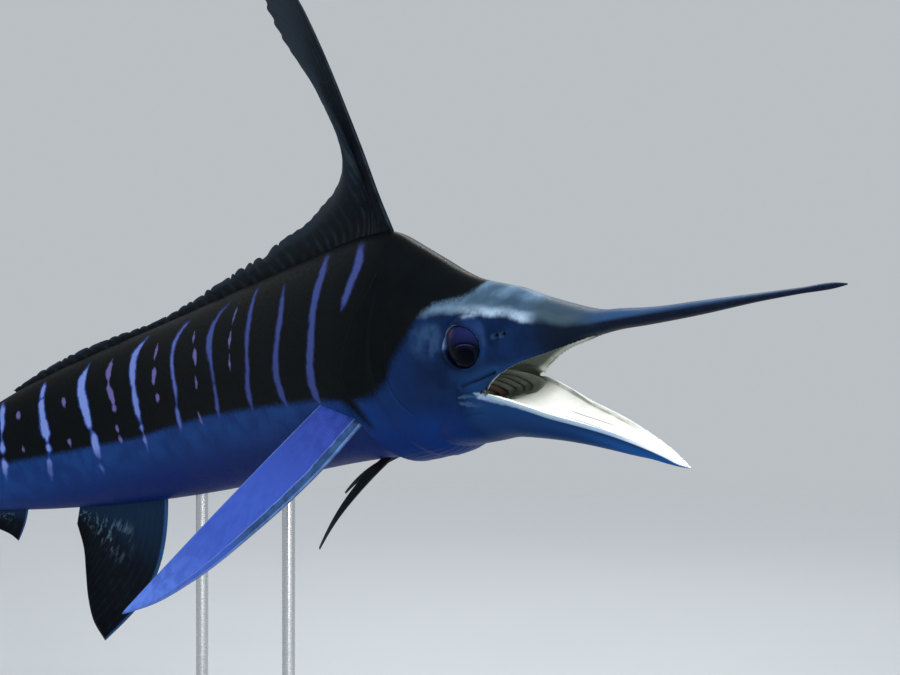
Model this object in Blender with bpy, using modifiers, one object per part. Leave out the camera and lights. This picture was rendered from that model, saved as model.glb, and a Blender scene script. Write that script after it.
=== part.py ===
"""Life-size striped marlin with its mouth open, banking on a display stand. Metres, +Z up, head towards +X.

Places along the fish are stations: metres behind the tip of the closed lower jaw, measured on the
spine. A point is given as (station, side, height), with side positive to the fish's left.
"""

import math

import bmesh
import bpy
import numpy as np
from mathutils import Matrix

TOUCH_GAP = 0.0003

# Pose of the fish
NOSE_UP = math.radians(4.9)
BANK = math.radians(12.7)  # the back leans to the fish's right
REFERENCE_STATION = 0.45
NECK_STATION = 0.30  # the spine is straight ahead of this
SPINE_END = 2.40
# Station and sideways bend of the spine there, in radians a metre; the tail swings to the right.
SIDE_BEND = (
    (0.30, 0.0), (0.42, -0.36), (0.55, 0.27), (0.80, 0.27), (1.20, 0.50), (1.60, 0.20), (2.40, 0.20),
)
TAIL_DROOP = 0.076  # radians a metre behind the reference station

# Body sections: station, back, belly, half width, height of the widest line
BODY = (
    (0.02, 0.0135, -0.0105, 0.0175, 0.001),
    (0.05, 0.0155, -0.0125, 0.0215, 0.000),
    (0.08, 0.0216, -0.0165, 0.0255, -0.002),
    (0.11, 0.0303, -0.0230, 0.0300, -0.005),
    (0.15, 0.0429, -0.0340, 0.0370, -0.009),
    (0.195, 0.0589, -0.0460, 0.0445, -0.012),
    (0.24, 0.0708, -0.0640, 0.0525, -0.013),
    (0.28, 0.0821, -0.0900, 0.0595, -0.012),
    (0.32, 0.0996, -0.1130, 0.0665, -0.009),
    (0.36, 0.1216, -0.1290, 0.0725, -0.005),
    (0.40, 0.1428, -0.1360, 0.0780, -0.002),
    (0.44, 0.1627, -0.1380, 0.0835, 0.000),
    (0.50, 0.1690, -0.1385, 0.0890, 0.000),
    (0.57, 0.1680, -0.1380, 0.0925, 0.000),
    (0.65, 0.1630, -0.1400, 0.0950, 0.000),
    (0.80, 0.1530, -0.1460, 0.0935, 0.000),
    (0.95, 0.1440, -0.1520, 0.0900, 0.000),
    (1.10, 0.1350, -0.1530, 0.0830, 0.000),
    (1.27, 0.1270, -0.1470, 0.0750, 0.000),
    (1.45, 0.1170, -0.1300, 0.0640, 0.000),
    (1.60, 0.1030, -0.1090, 0.0530, 0.000),
    (1.75, 0.0780, -0.0800, 0.0410, 0.000),
    (1.87, 0.0500, -0.0500, 0.0330, 0.000),
    (1.95, 0.0370, -0.0370, 0.0270, 0.000),
    (2.00, 0.0330, -0.0330, 0.0130, 0.000),
)
# Exponents of the section's superellipse above and below its widest line, each as station, exponent
BELLY_FULLNESS = ((0.02, 2.2), (0.08, 2.7), (0.20, 3.0), (0.26, 2.6), (0.34, 2.25))
BACK_FULLNESS = ((0.10, 2.0), (0.28, 1.6), (0.46, 1.6), (0.75, 1.85), (1.20, 2.0))
HEAD_SIDES = 28
BODY_SIDES = 26
BODY_RING_SPACING = 0.050
HEAD_RING_SPACING = 0.022
BILL_ROOT = 0.02
HEAD_END = 0.44
SHOULDER_END = 0.80
MIDDLE_END = 1.15
REAR_END = 1.55
STEM_END = 2.00

# Bill sections: station, top, underside, half width, height of the widest line
BILL = (
    (-0.334, 0.0008, -0.0008, 0.0012, 0.0),
    (-0.325, 0.0026, -0.0018, 0.0030, 0.0),
    (-0.270, 0.0040, -0.0024, 0.0060, 0.0),
    (-0.212, 0.0052, -0.0036, 0.0086, 0.0),
    (-0.120, 0.0074, -0.0078, 0.0125, 0.0),
    (-0.030, 0.0095, -0.0100, 0.0155, 0.0),
    (0.020, 0.0135, -0.0105, 0.0175, 0.001),
)

# Lower jaw, dropped open: station, lip, underside, half width, height of the widest line
JAW = (
    (-0.041, -0.1725, -0.1755, 0.0016, -0.1738),
    (-0.030, -0.1665, -0.1735, 0.0055, -0.1695),
    (-0.012, -0.1570, -0.1695, 0.0095, -0.1600),
    (0.012, -0.1450, -0.1630, 0.0138, -0.1490),
    (0.041, -0.1330, -0.1570, 0.0188, -0.1380),
    (0.071, -0.1205, -0.1500, 0.0240, -0.1270),
    (0.109, -0.1070, -0.1415, 0.0302, -0.1150),
    (0.151, -0.0935, -0.1340, 0.0365, -0.1030),
    (0.184, -0.0810, -0.1295, 0.0418, -0.0920),
    (0.215, -0.0690, -0.1260, 0.0466, -0.0830),
    (0.245, -0.0580, -0.1235, 0.0512, -0.0760),
    (0.300, -0.0580, -0.1265, 0.0570, -0.0850),
    (0.340, -0.0620, -0.1280, 0.0560, -0.0900),
    (0.385, -0.0700, -0.1240, 0.0500, -0.0950),
)
JAW_SIDES = 24
JAW_JOINT = 0.262  # the jaw is parted from the throat here
# Hollow of the lower jaw: station, top, floor, half width, height of the widest line
JAW_HOLLOW = (
    (-0.026, -0.1400, -0.1665, 0.0028, -0.1600),
    (-0.012, -0.1350, -0.1622, 0.0056, -0.1530),
    (0.012, -0.1250, -0.1535, 0.0094, -0.1420),
    (0.041, -0.1130, -0.1445, 0.0142, -0.1310),
    (0.071, -0.1005, -0.1355, 0.0192, -0.1190),
    (0.109, -0.0870, -0.1260, 0.0250, -0.1060),
    (0.151, -0.0735, -0.1170, 0.0312, -0.0930),
    (0.200, -0.0560, -0.1100, 0.0392, -0.0800),
    (0.245, -0.0380, -0.1080, 0.0445, -0.0740),
    (0.280, -0.0380, -0.1080, 0.0470, -0.0740),
)
# Roof of the mouth and throat, hollowed out of the head
MOUTH_HOLLOW = (
    (0.040, -0.0100, -0.0300, 0.0120, -0.0150),
    (0.080, -0.0120, -0.0400, 0.0190, -0.0190),
    (0.120, -0.0165, -0.0550, 0.0265, -0.0290),
    (0.160, -0.0240, -0.0750, 0.0340, -0.0410),
    (0.200, -0.0310, -0.0950, 0.0400, -0.0560),
    (0.240, -0.0370, -0.1070, 0.0440, -0.0700),
    (0.275, -0.0430, -0.1060, 0.0370, -0.0740),
    (0.310, -0.0500, -0.1030, 0.0310, -0.0760),
    (0.345, -0.0580, -0.0970, 0.0250, -0.0775),
    (0.372, -0.0680, -0.0890, 0.0140, -0.0785),
)
LIP_RADIUS = 0.0028
UPPER_LIP = (0.058, 0.222)  # stations between which the upper lip stands proud
GILL_SLITS = 4
GILL_SLIT_WIDTH = 0.0060
GILL_SLIT_PITCH = 0.0155
GILL_SLIT_LEAN = math.radians(28)
GILL_SLIT_REACH = (0.018, 0.0465)  # from the middle plane
GILL_SLIT_HEIGHT = -0.066
GILL_SLIT_RISE = 0.021
FIRST_GILL_SLIT = 0.281

# Eye and nostril
EYE_STATION = 0.262
EYE_HEIGHT = 0.003
EYE_SIDE = 0.0445  # centre of the eyeball from the middle plane
EYE_RADII = (0.0375, 0.0200, 0.0335)  # along the head, across it and upwards
LID_RADIUS = 0.0295
LID_STRETCH = 1.13  # along the head
LID_THICKNESS = 0.0036
NOSTRILS = ((0.192, 0.010), (0.207, 0.013))
NOSTRIL_RADIUS = 0.0030
CHEEK_FOLD = ((0.288, -0.047), (0.262, -0.044), (0.235, -0.038), (0.206, -0.032))
CHEEK_FOLD_RADIUS = 0.0016

# Gill cover: clock angle on the section, front station, rear station, how proud its rear edge is
GILL_COVER = (
    (48, 0.410, 0.440, 0.0025),
    (62, 0.392, 0.468, 0.0040),
    (78, 0.378, 0.493, 0.0050),
    (94, 0.370, 0.506, 0.0055),
    (110, 0.364, 0.507, 0.0058),
    (126, 0.358, 0.499, 0.0060),
    (142, 0.350, 0.490, 0.0064),
    (160, 0.340, 0.483, 0.0070),
    (177, 0.330, 0.480, 0.0075),
)
GILL_COVER_ROOT = 0.006

# Fins. An outline point is (station, height) on the middle plane unless it says otherwise.
FIN_SINK = 0.014
RAY_TIP = 0.0010
SKIN_AT_ROOT = 0.0014
SKIN_AT_TIP = 0.0007
DORSAL_START = 0.447
DORSAL_FRONT_END = 0.662
DORSAL_PEAK_SHARE = 0.69  # of the front part's rays that belong to the tall peak
# The peak's rays are rooted close together: share of the rays, share of the root
DORSAL_ROOT_SPREAD = ((0.0, 0.0), (0.3, 0.12), (0.6, 0.28), (0.8, 0.60), (1.0, 1.0))
DORSAL_MIDDLE_END = 1.10
DORSAL_END = 1.575
DORSAL_LEADING_EDGE = (
    (0.447, 0.166), (0.462, 0.217), (0.475, 0.278), (0.491, 0.340), (0.506, 0.395),
    (0.523, 0.448), (0.546, 0.504), (0.583, 0.556), (0.645, 0.592),
)
DORSAL_FRONT_OUTLINE = (
    (0.645, 0.592), (0.640, 0.548), (0.629, 0.506), (0.610, 0.464), (0.588, 0.430),
    (0.563, 0.395), (0.540, 0.362), (0.527, 0.330), (0.524, 0.296), (0.538, 0.265),
    (0.570, 0.242), (0.614, 0.227), (0.658, 0.213), (0.695, 0.2050),
)
DORSAL_FRONT_RAYS = (9, 5)
DORSAL_FLUTTER = 0.010
DORSAL_LOW_RAYS = (15, 16)
DORSAL_LOW_HEIGHT = (
    (0.66, 0.0470), (0.80, 0.0360), (1.00, 0.0270), (1.25, 0.0240), (1.45, 0.0220), (1.575, 0.0100),
)
DORSAL_LOW_LEAN = 0.034
ANAL_START = 1.262
ANAL_END = 1.500
ANAL_OUTLINE = (
    (1.545, -0.366), (1.560, -0.328), (1.556, -0.286), (1.541, -0.240), (1.526, -0.195), (1.524, -0.152),
)
ANAL_RAYS = 12
ANAL_BOW = 0.048
SECOND_DORSAL_BASE = (1.665, 1.745)
SECOND_DORSAL_OUTLINE = (
    (1.715, 0.1470), (1.728, 0.1340), (1.748, 0.1210), (1.775, 0.1090), (1.832, 0.0960),
)
SECOND_ANAL_BASE = (1.645, 1.725)
SECOND_ANAL_OUTLINE = (
    (1.697, -0.1520), (1.710, -0.1390), (1.730, -0.1260), (1.757, -0.1130), (1.812, -0.0990),
)
SMALL_FIN_RAYS = 7
PECTORAL_ROOT = ((0.513, -0.071), (0.594, -0.043))
# Ahead, outwards and up from the middle of the root to the tip: the left fin is held closer in
PECTORAL_REACH = {-1: (-0.252, 0.276, -0.205), 1: (-0.350, 0.195, -0.095)}
PECTORAL_CHORD = ((0.0, 0.092), (0.25, 0.102), (0.5, 0.094), (0.75, 0.071), (0.9, 0.040), (1.0, 0.003))
PECTORAL_CHORD_LEAN = (0.92, 0.05, -0.38)
PECTORAL_SWEEP = -0.004
PECTORAL_RAYS = 12
PELVIC_ROOT = 0.560
PELVIC_SIDE = 0.022
PELVIC_TIPS = ((-1, (0.796, -0.040, -0.256)), (1, (0.817, 0.040, -0.191)))
PELVIC_CHORD = ((0.0, 0.026), (0.3, 0.018), (0.7, 0.008), (1.0, 0.003))
PELVIC_RAYS = 3
TAIL_TIP = (2.270, 0.350)
TAIL_EDGE = (
    (2.270, 0.350), (2.215, 0.268), (2.155, 0.180), (2.103, 0.098), (2.068, 0.036), (2.056, 0.0008),
)
TAIL_ROOT = ((1.925, 0.0400), (1.960, 0.0330), (1.985, 0.0190), (1.994, 0.0008))
TAIL_RAYS = 10
TAIL_BOW = 0.026
KEELS = ((0.0135, 1), (-0.0135, -1))
KEEL_STATIONS = (1.835, 1.990)
KEEL_HEIGHT = 0.0075
KEEL_THICKNESS = 0.0042

# Stand
FLOOR_CLEARANCE = 0.045  # below the lowest fin
BASE_SIZE = (1.02, 0.46, 0.028)
BASE_CORNER = 0.11
BASE_EDGE = 0.004
BASE_CENTRE = (-0.47, -0.02)  # from the reference point of the fish
ROD_RADIUS = 0.010
ROD_COLLAR = (0.034, 0.012)
ROD_STATIONS = {"front": 0.90, "rear": 1.16}

COLOURS = {
    "back": ((0.020, 0.028, 0.045), 0.32, 0.0),
    "head": ((0.060, 0.085, 0.130), 0.30, 0.0),
    "bill": ((0.035, 0.042, 0.055), 0.35, 0.0),
    "mouth": ((0.780, 0.780, 0.740), 0.40, 0.0),
    "eye": ((0.020, 0.018, 0.035), 0.08, 0.0),
    "fin": ((0.025, 0.030, 0.055), 0.45, 0.0),
    "pectoral": ((0.300, 0.360, 0.620), 0.45, 0.0),
    "plinth": ((0.030, 0.030, 0.032), 0.40, 0.0),
    "steel": ((0.620, 0.630, 0.640), 0.25, 1.0),
}


def clear_scene():
    for obj in list(bpy.data.objects):
        bpy.data.objects.remove(obj, do_unlink=True)


def new_collection(name):
    collection = bpy.data.collections.new(name)
    bpy.context.scene.collection.children.link(collection)
    return collection


def material(name):
    colour, roughness, metallic = COLOURS[name]
    made = bpy.data.materials.get(name) or bpy.data.materials.new(name)
    made.use_nodes = True
    shader = made.node_tree.nodes["Principled BSDF"]
    shader.inputs["Base Color"].default_value = (*colour, 1.0)
    shader.inputs["Roughness"].default_value = roughness
    shader.inputs["Metallic"].default_value = metallic
    return made


def smooth(knots, values, at):
    """A cubic curve through the knots, whose slope at each comes from its neighbours."""
    knots = np.asarray(knots, float)
    values = np.asarray(values, float)
    slopes = np.gradient(values, knots)
    at = np.clip(at, knots[0], knots[-1])
    i = np.clip(np.searchsorted(knots, at) - 1, 0, len(knots) - 2)
    width = knots[i + 1] - knots[i]
    t = (at - knots[i]) / width
    start = values[i] * (1 + 2 * t) * (1 - t) ** 2 + slopes[i] * width * t * (1 - t) ** 2
    return start + values[i + 1] * t * t * (3 - 2 * t) - slopes[i + 1] * width * t * t * (1 - t)


def along(points, share):
    """The point at this share of the way along a smooth outline, its points evenly shared out."""
    knots = np.linspace(0.0, 1.0, len(points))
    return np.array([smooth(knots, column, share) for column in np.array(points, float).T])


def level_from_fish():
    """Turns the fish's own axes to the room's: nose up, then the back leaning to the right."""
    cosine = math.cos(NOSE_UP)
    sine = math.sin(NOSE_UP)
    pitch = np.array([[cosine, 0, -sine], [0, 1, 0], [sine, 0, cosine]])
    bank = np.array([[1, 0, 0], [0, math.cos(BANK), -math.sin(BANK)], [0, math.sin(BANK), math.cos(BANK)]])
    return pitch @ bank


def bent_spine():
    """Stations, points and headings along the spine, with the reference station at the origin."""
    stations = np.linspace(NECK_STATION, SPINE_END, 421)
    bend = np.interp(stations, *np.array(SIDE_BEND).T)
    step = stations[1] - stations[0]
    heading = np.concatenate([[0.0], np.cumsum((bend[1:] + bend[:-1]) / 2) * step])
    heading -= np.interp(REFERENCE_STATION, stations, heading)
    droop = TAIL_DROOP * np.clip(stations - REFERENCE_STATION, 0, None)
    level = np.cos(droop)
    ahead = np.stack([level * np.cos(heading), level * np.sin(heading), np.sin(droop)], axis=1)
    points = np.zeros_like(ahead)
    points[1:] = -np.cumsum((ahead[1:] + ahead[:-1]) / 2, axis=0) * step
    points -= [np.interp(REFERENCE_STATION, stations, column) for column in points.T]
    return stations, points, heading, droop


SPINE = bent_spine()
LEVEL = level_from_fish()


def spine_frame(station):
    """The spine's point at a station, and the ways ahead, left and up there, in the fish's own axes."""
    stations, points, heading, droop = SPINE
    turn = np.interp(station, stations, heading)
    tilt = np.interp(station, stations, droop)
    ahead = np.array([math.cos(tilt) * math.cos(turn), math.cos(tilt) * math.sin(turn), math.sin(tilt)])
    left = np.array([-math.sin(turn), math.cos(turn), 0.0])
    point = np.array([np.interp(station, stations, column) for column in points.T])
    point += ahead * max(0.0, NECK_STATION - station)
    return point, ahead, left, np.cross(ahead, left)


def place(station, side, height):
    """A point of the fish in the room's axes."""
    point, _, left, up = spine_frame(station)
    return LEVEL @ (point + left * side + up * height)


def sizes(table, station):
    columns = np.array(table).T
    return [float(smooth(columns[0], column, station)) for column in columns[1:]]


def section_fullness(table, station, above):
    if table is not BODY:
        return 2.25
    return float(np.interp(station, *np.array(BACK_FULLNESS if above else BELLY_FULLNESS).T))


def section_point(table, station, angle, lift=0.0):
    """A point of a section: the angle runs from the back over the left side to the belly and round."""
    top, bottom, half, middle = sizes(table, station)
    sine, cosine = math.sin(angle), math.cos(angle)
    reach = (top - middle if cosine > 0 else middle - bottom) + lift
    fullness = section_fullness(table, station, cosine > 0)
    side = (half + lift) * math.copysign(abs(sine) ** (2 / fullness), sine)
    height = middle + reach * math.copysign(abs(cosine) ** (2 / fullness), cosine)
    return place(station, side, height)


def flank_side(station, height):
    """How far the skin is from the middle plane at a height on the flank."""
    top, bottom, half, middle = sizes(BODY, station)
    reach = top - middle if height > middle else middle - bottom
    share = min(1.0, abs(height - middle) / reach)
    fullness = section_fullness(BODY, station, height > middle)
    return half * (1 - share**fullness) ** (1 / fullness)


def ring(table, station, sides, lift=0.0):
    return [section_point(table, station, 2 * math.pi * k / sides, lift) for k in range(sides)]


def new_object(name, mesh, collection, colour):
    obj = bpy.data.objects.new(name, mesh)
    collection.objects.link(obj)
    mesh.materials.clear()
    mesh.materials.append(material(colour))
    return obj


def face_out(mesh):
    work = bmesh.new()
    work.from_mesh(mesh)
    bmesh.ops.recalc_face_normals(work, faces=work.faces)
    if work.calc_volume(signed=True) < 0:
        bmesh.ops.reverse_faces(work, faces=work.faces)
    work.to_mesh(mesh)
    work.free()


def loft(name, rings, collection, colour):
    """A closed solid through rings of equally many points, with flat ends."""
    sides = len(rings[0])
    points = [tuple(point) for one in rings for point in one]
    faces = []
    for i in range(len(rings) - 1):
        for k in range(sides):
            after = (k + 1) % sides
            a, b, c, d = i * sides + k, i * sides + after, (i + 1) * sides + after, (i + 1) * sides + k
            faces += [(a, b, c), (a, c, d)]
    faces.append(tuple(range(sides)))
    faces.append(tuple((len(rings) - 1) * sides + k for k in range(sides)))
    mesh = bpy.data.meshes.new(name)
    mesh.from_pydata(points, [], faces)
    face_out(mesh)
    return new_object(name, mesh, collection, colour)


def evenly(start, end, spacing):
    return np.linspace(start, end, max(2, int(round((end - start) / spacing)) + 1))


def apply_modifiers(obj):
    graph = bpy.context.evaluated_depsgraph_get()
    mesh = bpy.data.meshes.new_from_object(obj.evaluated_get(graph))
    obj.modifiers.clear()
    obj.data = mesh


def boolean(obj, others, operation, workshop):
    """Joins obj with, or cuts it by, a few closed objects, which are removed afterwards."""
    for other in others:
        if other.name not in workshop.objects:
            workshop.objects.link(other)
    if operation == "UNION":
        modifier = obj.modifiers.new("join", "BOOLEAN")
        modifier.operation = operation
        modifier.operand_type = "COLLECTION"
        modifier.collection = workshop
    else:
        for other in others:
            modifier = obj.modifiers.new("cut", "BOOLEAN")
            modifier.operation = operation
            modifier.object = other
    bpy.context.view_layer.update()
    apply_modifiers(obj)
    for other in others:
        bpy.data.objects.remove(other, do_unlink=True)
    keep_largest_surface(obj.data)


def keep_largest_surface(mesh):
    """Drops the loose scraps and sealed hollows that a Boolean leaves."""
    work = bmesh.new()
    work.from_mesh(mesh)
    bmesh.ops.triangulate(work, faces=work.faces)
    work.verts.ensure_lookup_table()
    seen = set()
    shells = []
    for start in work.verts:
        if start in seen:
            continue
        seen.add(start)
        stack = [start]
        shell = []
        while stack:
            vert = stack.pop()
            shell.append(vert)
            for edge in vert.link_edges:
                other = edge.other_vert(vert)
                if other not in seen:
                    seen.add(other)
                    stack.append(other)
        shells.append(shell)

    def volume(shell):
        total = 0.0
        for face in {face for vert in shell for face in vert.link_faces}:
            a, b, c = (corner.co for corner in face.verts)
            total += a.dot(b.cross(c)) / 6
        return total

    best = max(shells, key=volume)
    scraps = [vert for shell in shells if shell is not best for vert in shell]
    bmesh.ops.delete(work, geom=scraps, context="VERTS")
    work.to_mesh(mesh)
    work.free()


def tube(name, points, radii, collection, colour):
    """A round cord through a few points, with a radius at each, as a closed mesh."""
    curve = bpy.data.curves.new(name, "CURVE")
    curve.dimensions = "3D"
    curve.bevel_depth = max(radii)
    curve.bevel_resolution = 1
    curve.use_fill_caps = True
    spline = curve.splines.new("POLY")
    spline.points.add(len(points) - 1)
    for knot, point, radius in zip(spline.points, points, radii):
        knot.co = (*point, 1.0)
        knot.radius = radius / max(radii)
    line = bpy.data.objects.new(name, curve)
    collection.objects.link(line)
    bpy.context.view_layer.update()
    mesh = bpy.data.meshes.new_from_object(line.evaluated_get(bpy.context.evaluated_depsgraph_get()))
    bpy.data.objects.remove(line, do_unlink=True)
    work = bmesh.new()
    work.from_mesh(mesh)
    bmesh.ops.remove_doubles(work, verts=work.verts, dist=1e-6)
    work.to_mesh(mesh)
    work.free()
    face_out(mesh)
    return new_object(name, mesh, collection, colour)


def ball(name, centre, radii, collection, colour, segments=20):
    work = bmesh.new()
    bmesh.ops.create_uvsphere(work, u_segments=segments, v_segments=segments // 2, radius=1.0)
    mesh = bpy.data.meshes.new(name)
    work.to_mesh(mesh)
    work.free()
    obj = new_object(name, mesh, collection, colour)
    turn = np.eye(4)
    turn[:3, :3] = LEVEL @ np.diag(radii)
    turn[:3, 3] = centre
    mesh.transform(Matrix(turn.tolist()))
    face_out(mesh)
    return obj


def ray_fin(name, surface, rays, rows, thickness, collection, colour, notch=0.0, lead=1.0):
    """A fin of rays raised on both faces of a thin skin.

    surface(u, v) is the fin's middle: u from the first ray to the last, and v from the root to the edge.
    """
    columns = 2 * rays - 1
    levels = np.concatenate([[-1.0], np.linspace(0.0, 1.0, rows)])

    def middle(u, v):
        if v >= 0:
            return surface(u, v)
        root = surface(u, 0.0)
        inward = root - surface(u, 0.06)
        return root + inward / np.linalg.norm(inward) * FIN_SINK

    def normal(u, v):
        v = min(max(v, 0.02), 0.98)
        u = min(max(u, 0.01), 0.99)
        across = surface(u + 0.01, v) - surface(u - 0.01, v)
        outward = surface(u, v + 0.02) - surface(u, v - 0.02)
        found = np.cross(across, outward)
        return found / np.linalg.norm(found)

    points = []
    for face in (1, -1):
        for i in range(columns):
            u = i / (columns - 1)
            on_ray = i % 2 == 0
            edge = 1.0 if on_ray else 1.0 - notch
            for v in levels:
                share = max(v, 0.0)
                root, tip = (thickness, RAY_TIP) if on_ray else (SKIN_AT_ROOT, SKIN_AT_TIP)
                thick = root + (tip - root) * share
                if i == 0:
                    thick *= lead
                at = v * edge if v > 0 else v
                points.append(middle(u, at) + normal(u, at) * face * thick / 2)
    high = len(levels)
    back = columns * high

    faces = []
    for i in range(columns - 1):
        for j in range(high - 1):
            a, b = i * high + j, (i + 1) * high + j
            faces += [(a, b, b + 1), (a, b + 1, a + 1)]
            faces += [(back + a, back + b + 1, back + b), (back + a, back + a + 1, back + b + 1)]
    rim = [i * high for i in range(columns)]
    rim += [(columns - 1) * high + j for j in range(1, high)]
    rim += [i * high + high - 1 for i in range(columns - 2, -1, -1)]
    rim += [j for j in range(high - 2, 0, -1)]
    # The first and last edges are split along like diagonals, so that two stretches of one fin can meet.
    for k, one in enumerate(rim):
        after = rim[(k + 1) % len(rim)]
        if after > one:
            faces += [(one, back + one, back + after), (one, back + after, after)]
        else:
            faces += [(one, back + one, after), (back + one, back + after, after)]
    mesh = bpy.data.meshes.new(name)
    mesh.from_pydata([tuple(point) for point in points], [], faces)
    face_out(mesh)
    return new_object(name, mesh, collection, colour)


def body_length(name, start, end, collection):
    stations = evenly(start + TOUCH_GAP / 2, end - TOUCH_GAP / 2, BODY_RING_SPACING)
    rings = [ring(BODY, station, BODY_SIDES) for station in stations]
    return loft(name, rings, collection, "back")


def torso_cutter(workshop):
    """The body behind the head, a touching gap larger all round, with the same facets."""
    ends = (HEAD_END, SHOULDER_END, MIDDLE_END, REAR_END, STEM_END)
    stations = [HEAD_END]
    for first, last in zip(ends, ends[1:]):
        stations += list(evenly(first + TOUCH_GAP / 2, last - TOUCH_GAP / 2, BODY_RING_SPACING))
    stations.append(STEM_END + TOUCH_GAP)
    rings = [ring(BODY, station, BODY_SIDES, TOUCH_GAP) for station in stations]
    return loft("torso_cutter", rings, workshop, "back")


def head_rings(lift=0.0):
    stations = evenly(BILL_ROOT + TOUCH_GAP / 2, HEAD_END - TOUCH_GAP / 2, HEAD_RING_SPACING)
    return [ring(BODY, station, HEAD_SIDES, lift) for station in stations]


def throat_rings(lift=0.0):
    stations = evenly(JAW_JOINT + TOUCH_GAP / 2, JAW[-1][0], HEAD_RING_SPACING)
    return [ring(JAW, station, JAW_SIDES, lift) for station in stations]


def gill_slit_cutters(workshop):
    """Slanted slots behind the gill arches, cut into both walls of the throat."""
    found = []
    for flank in (-1, 1):
        for k in range(GILL_SLITS):
            station = FIRST_GILL_SLIT + k * GILL_SLIT_PITCH
            corners = []
            for depth in GILL_SLIT_REACH:
                for end in (-1, 1):
                    for edge in (-1, 1):
                        rise = end * GILL_SLIT_RISE
                        shift = math.tan(GILL_SLIT_LEAN) * rise + edge * GILL_SLIT_WIDTH / 2
                        corner = place(station + shift, flank * depth, GILL_SLIT_HEIGHT + rise)
                        corners.append(tuple(corner))
            mesh = bpy.data.meshes.new("slit")
            sides = [(0, 1, 3, 2), (4, 6, 7, 5), (0, 4, 5, 1), (2, 3, 7, 6), (0, 2, 6, 4), (1, 5, 7, 3)]
            mesh.from_pydata(corners, [], sides)
            face_out(mesh)
            found.append(new_object("slit", mesh, workshop, "mouth"))
    return found


def lip(table, stations, flank, inset, rise, workshop):
    """The rounded edge of a jaw: a cord just inside the widest line, thinner towards the front."""
    points = []
    for station in stations:
        _, _, half, middle = sizes(table, station)
        points.append(place(station, flank * (half - inset), middle + rise))
    share = np.linspace(0.35, 1.0, len(stations)) ** 0.6
    return tube("lip", points, list(LIP_RADIUS * share), workshop, "mouth")


def mouth_rim(station, flank):
    """Where the roof of the mouth comes out through the underside of the upper jaw."""
    _, bottom, _, middle = sizes(BODY, station)
    _, _, hollow_half, hollow_middle = sizes(MOUTH_HOLLOW, station)
    inside, outside = bottom, middle
    for _ in range(30):
        height = (inside + outside) / 2
        reach = sizes(MOUTH_HOLLOW, station)[0] - hollow_middle
        share = min(1.0, max(0.0, height - hollow_middle) / reach)
        hollow_side = hollow_half * (1 - share**2.25) ** (1 / 2.25)
        if hollow_side > flank_side(station, height):
            inside = height
        else:
            outside = height
    return place(station, flank * flank_side(station, height), height)


def upper_lip(flank, workshop):
    stations = np.linspace(*UPPER_LIP, 9)
    points = [mouth_rim(station, flank) for station in stations]
    share = np.linspace(0.45, 1.0, len(stations))
    return tube("lip", points, list(LIP_RADIUS * share), workshop, "head")


def make_head(fish, workshop):
    head = loft("head", head_rings(), fish, "head")
    pieces = [loft("throat", throat_rings(), workshop, "head")]
    pieces += [upper_lip(flank, workshop) for flank in (-1, 1)]
    for flank in (-1, 1):
        lid_centre = place(EYE_STATION, flank * flank_side(EYE_STATION, EYE_HEIGHT), EYE_HEIGHT)
        pieces.append(make_lid(lid_centre, flank, workshop))
    boolean(head, pieces, "UNION", workshop)
    cuts = [loft("mouth", [ring(MOUTH_HOLLOW, row[0], 18) for row in MOUTH_HOLLOW], workshop, "mouth")]
    cuts += gill_slit_cutters(workshop)
    for flank in (-1, 1):
        cuts.append(eyeball("socket", flank, workshop, TOUCH_GAP))
        for station, height in NOSTRILS:
            pit = place(station, flank * flank_side(station, height), height)
            radii = (NOSTRIL_RADIUS * 1.4, NOSTRIL_RADIUS, NOSTRIL_RADIUS)
            cuts.append(ball("nostril", pit, radii, workshop, "head", 6))
        fold = [place(s, flank * (flank_side(s, h) + 0.0003), h) for s, h in CHEEK_FOLD]
        cuts.append(tube("fold", fold, [CHEEK_FOLD_RADIUS] * len(fold), workshop, "head"))
    boolean(head, cuts, "DIFFERENCE", workshop)
    return head


def make_lid(centre, flank, workshop):
    """The raised ring of skin round an eye."""
    bpy.ops.mesh.primitive_torus_add(
        major_radius=LID_RADIUS, minor_radius=LID_THICKNESS, major_segments=20, minor_segments=6
    )
    lid = bpy.context.object
    lid.name = "lid"
    for collection in list(lid.users_collection):
        collection.objects.unlink(lid)
    workshop.objects.link(lid)
    # The ring lies in its own XY plane: its axis is turned to the way the cheek faces.
    step = 0.02
    fore = place(EYE_STATION - step, flank * flank_side(EYE_STATION - step, EYE_HEIGHT), EYE_HEIGHT)
    aft = place(EYE_STATION + step, flank * flank_side(EYE_STATION + step, EYE_HEIGHT), EYE_HEIGHT)
    x = (fore - aft) / np.linalg.norm(fore - aft)
    _, _, left, up = spine_frame(EYE_STATION)
    up = LEVEL @ up
    z = np.cross(x, up) * -flank
    z /= np.linalg.norm(z)
    turn = np.eye(4)
    turn[:3, 0], turn[:3, 1], turn[:3, 2] = x * LID_STRETCH, np.cross(z, x), z
    turn[:3, 3] = centre - z * LID_THICKNESS * 0.45
    lid.data.transform(Matrix(turn.tolist()))
    face_out(lid.data)
    return lid


def eyeball(name, flank, collection, lift=0.0):
    centre = place(EYE_STATION, flank * EYE_SIDE, EYE_HEIGHT)
    return ball(name, centre, np.array(EYE_RADII) + lift, collection, "eye", 18)


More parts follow.
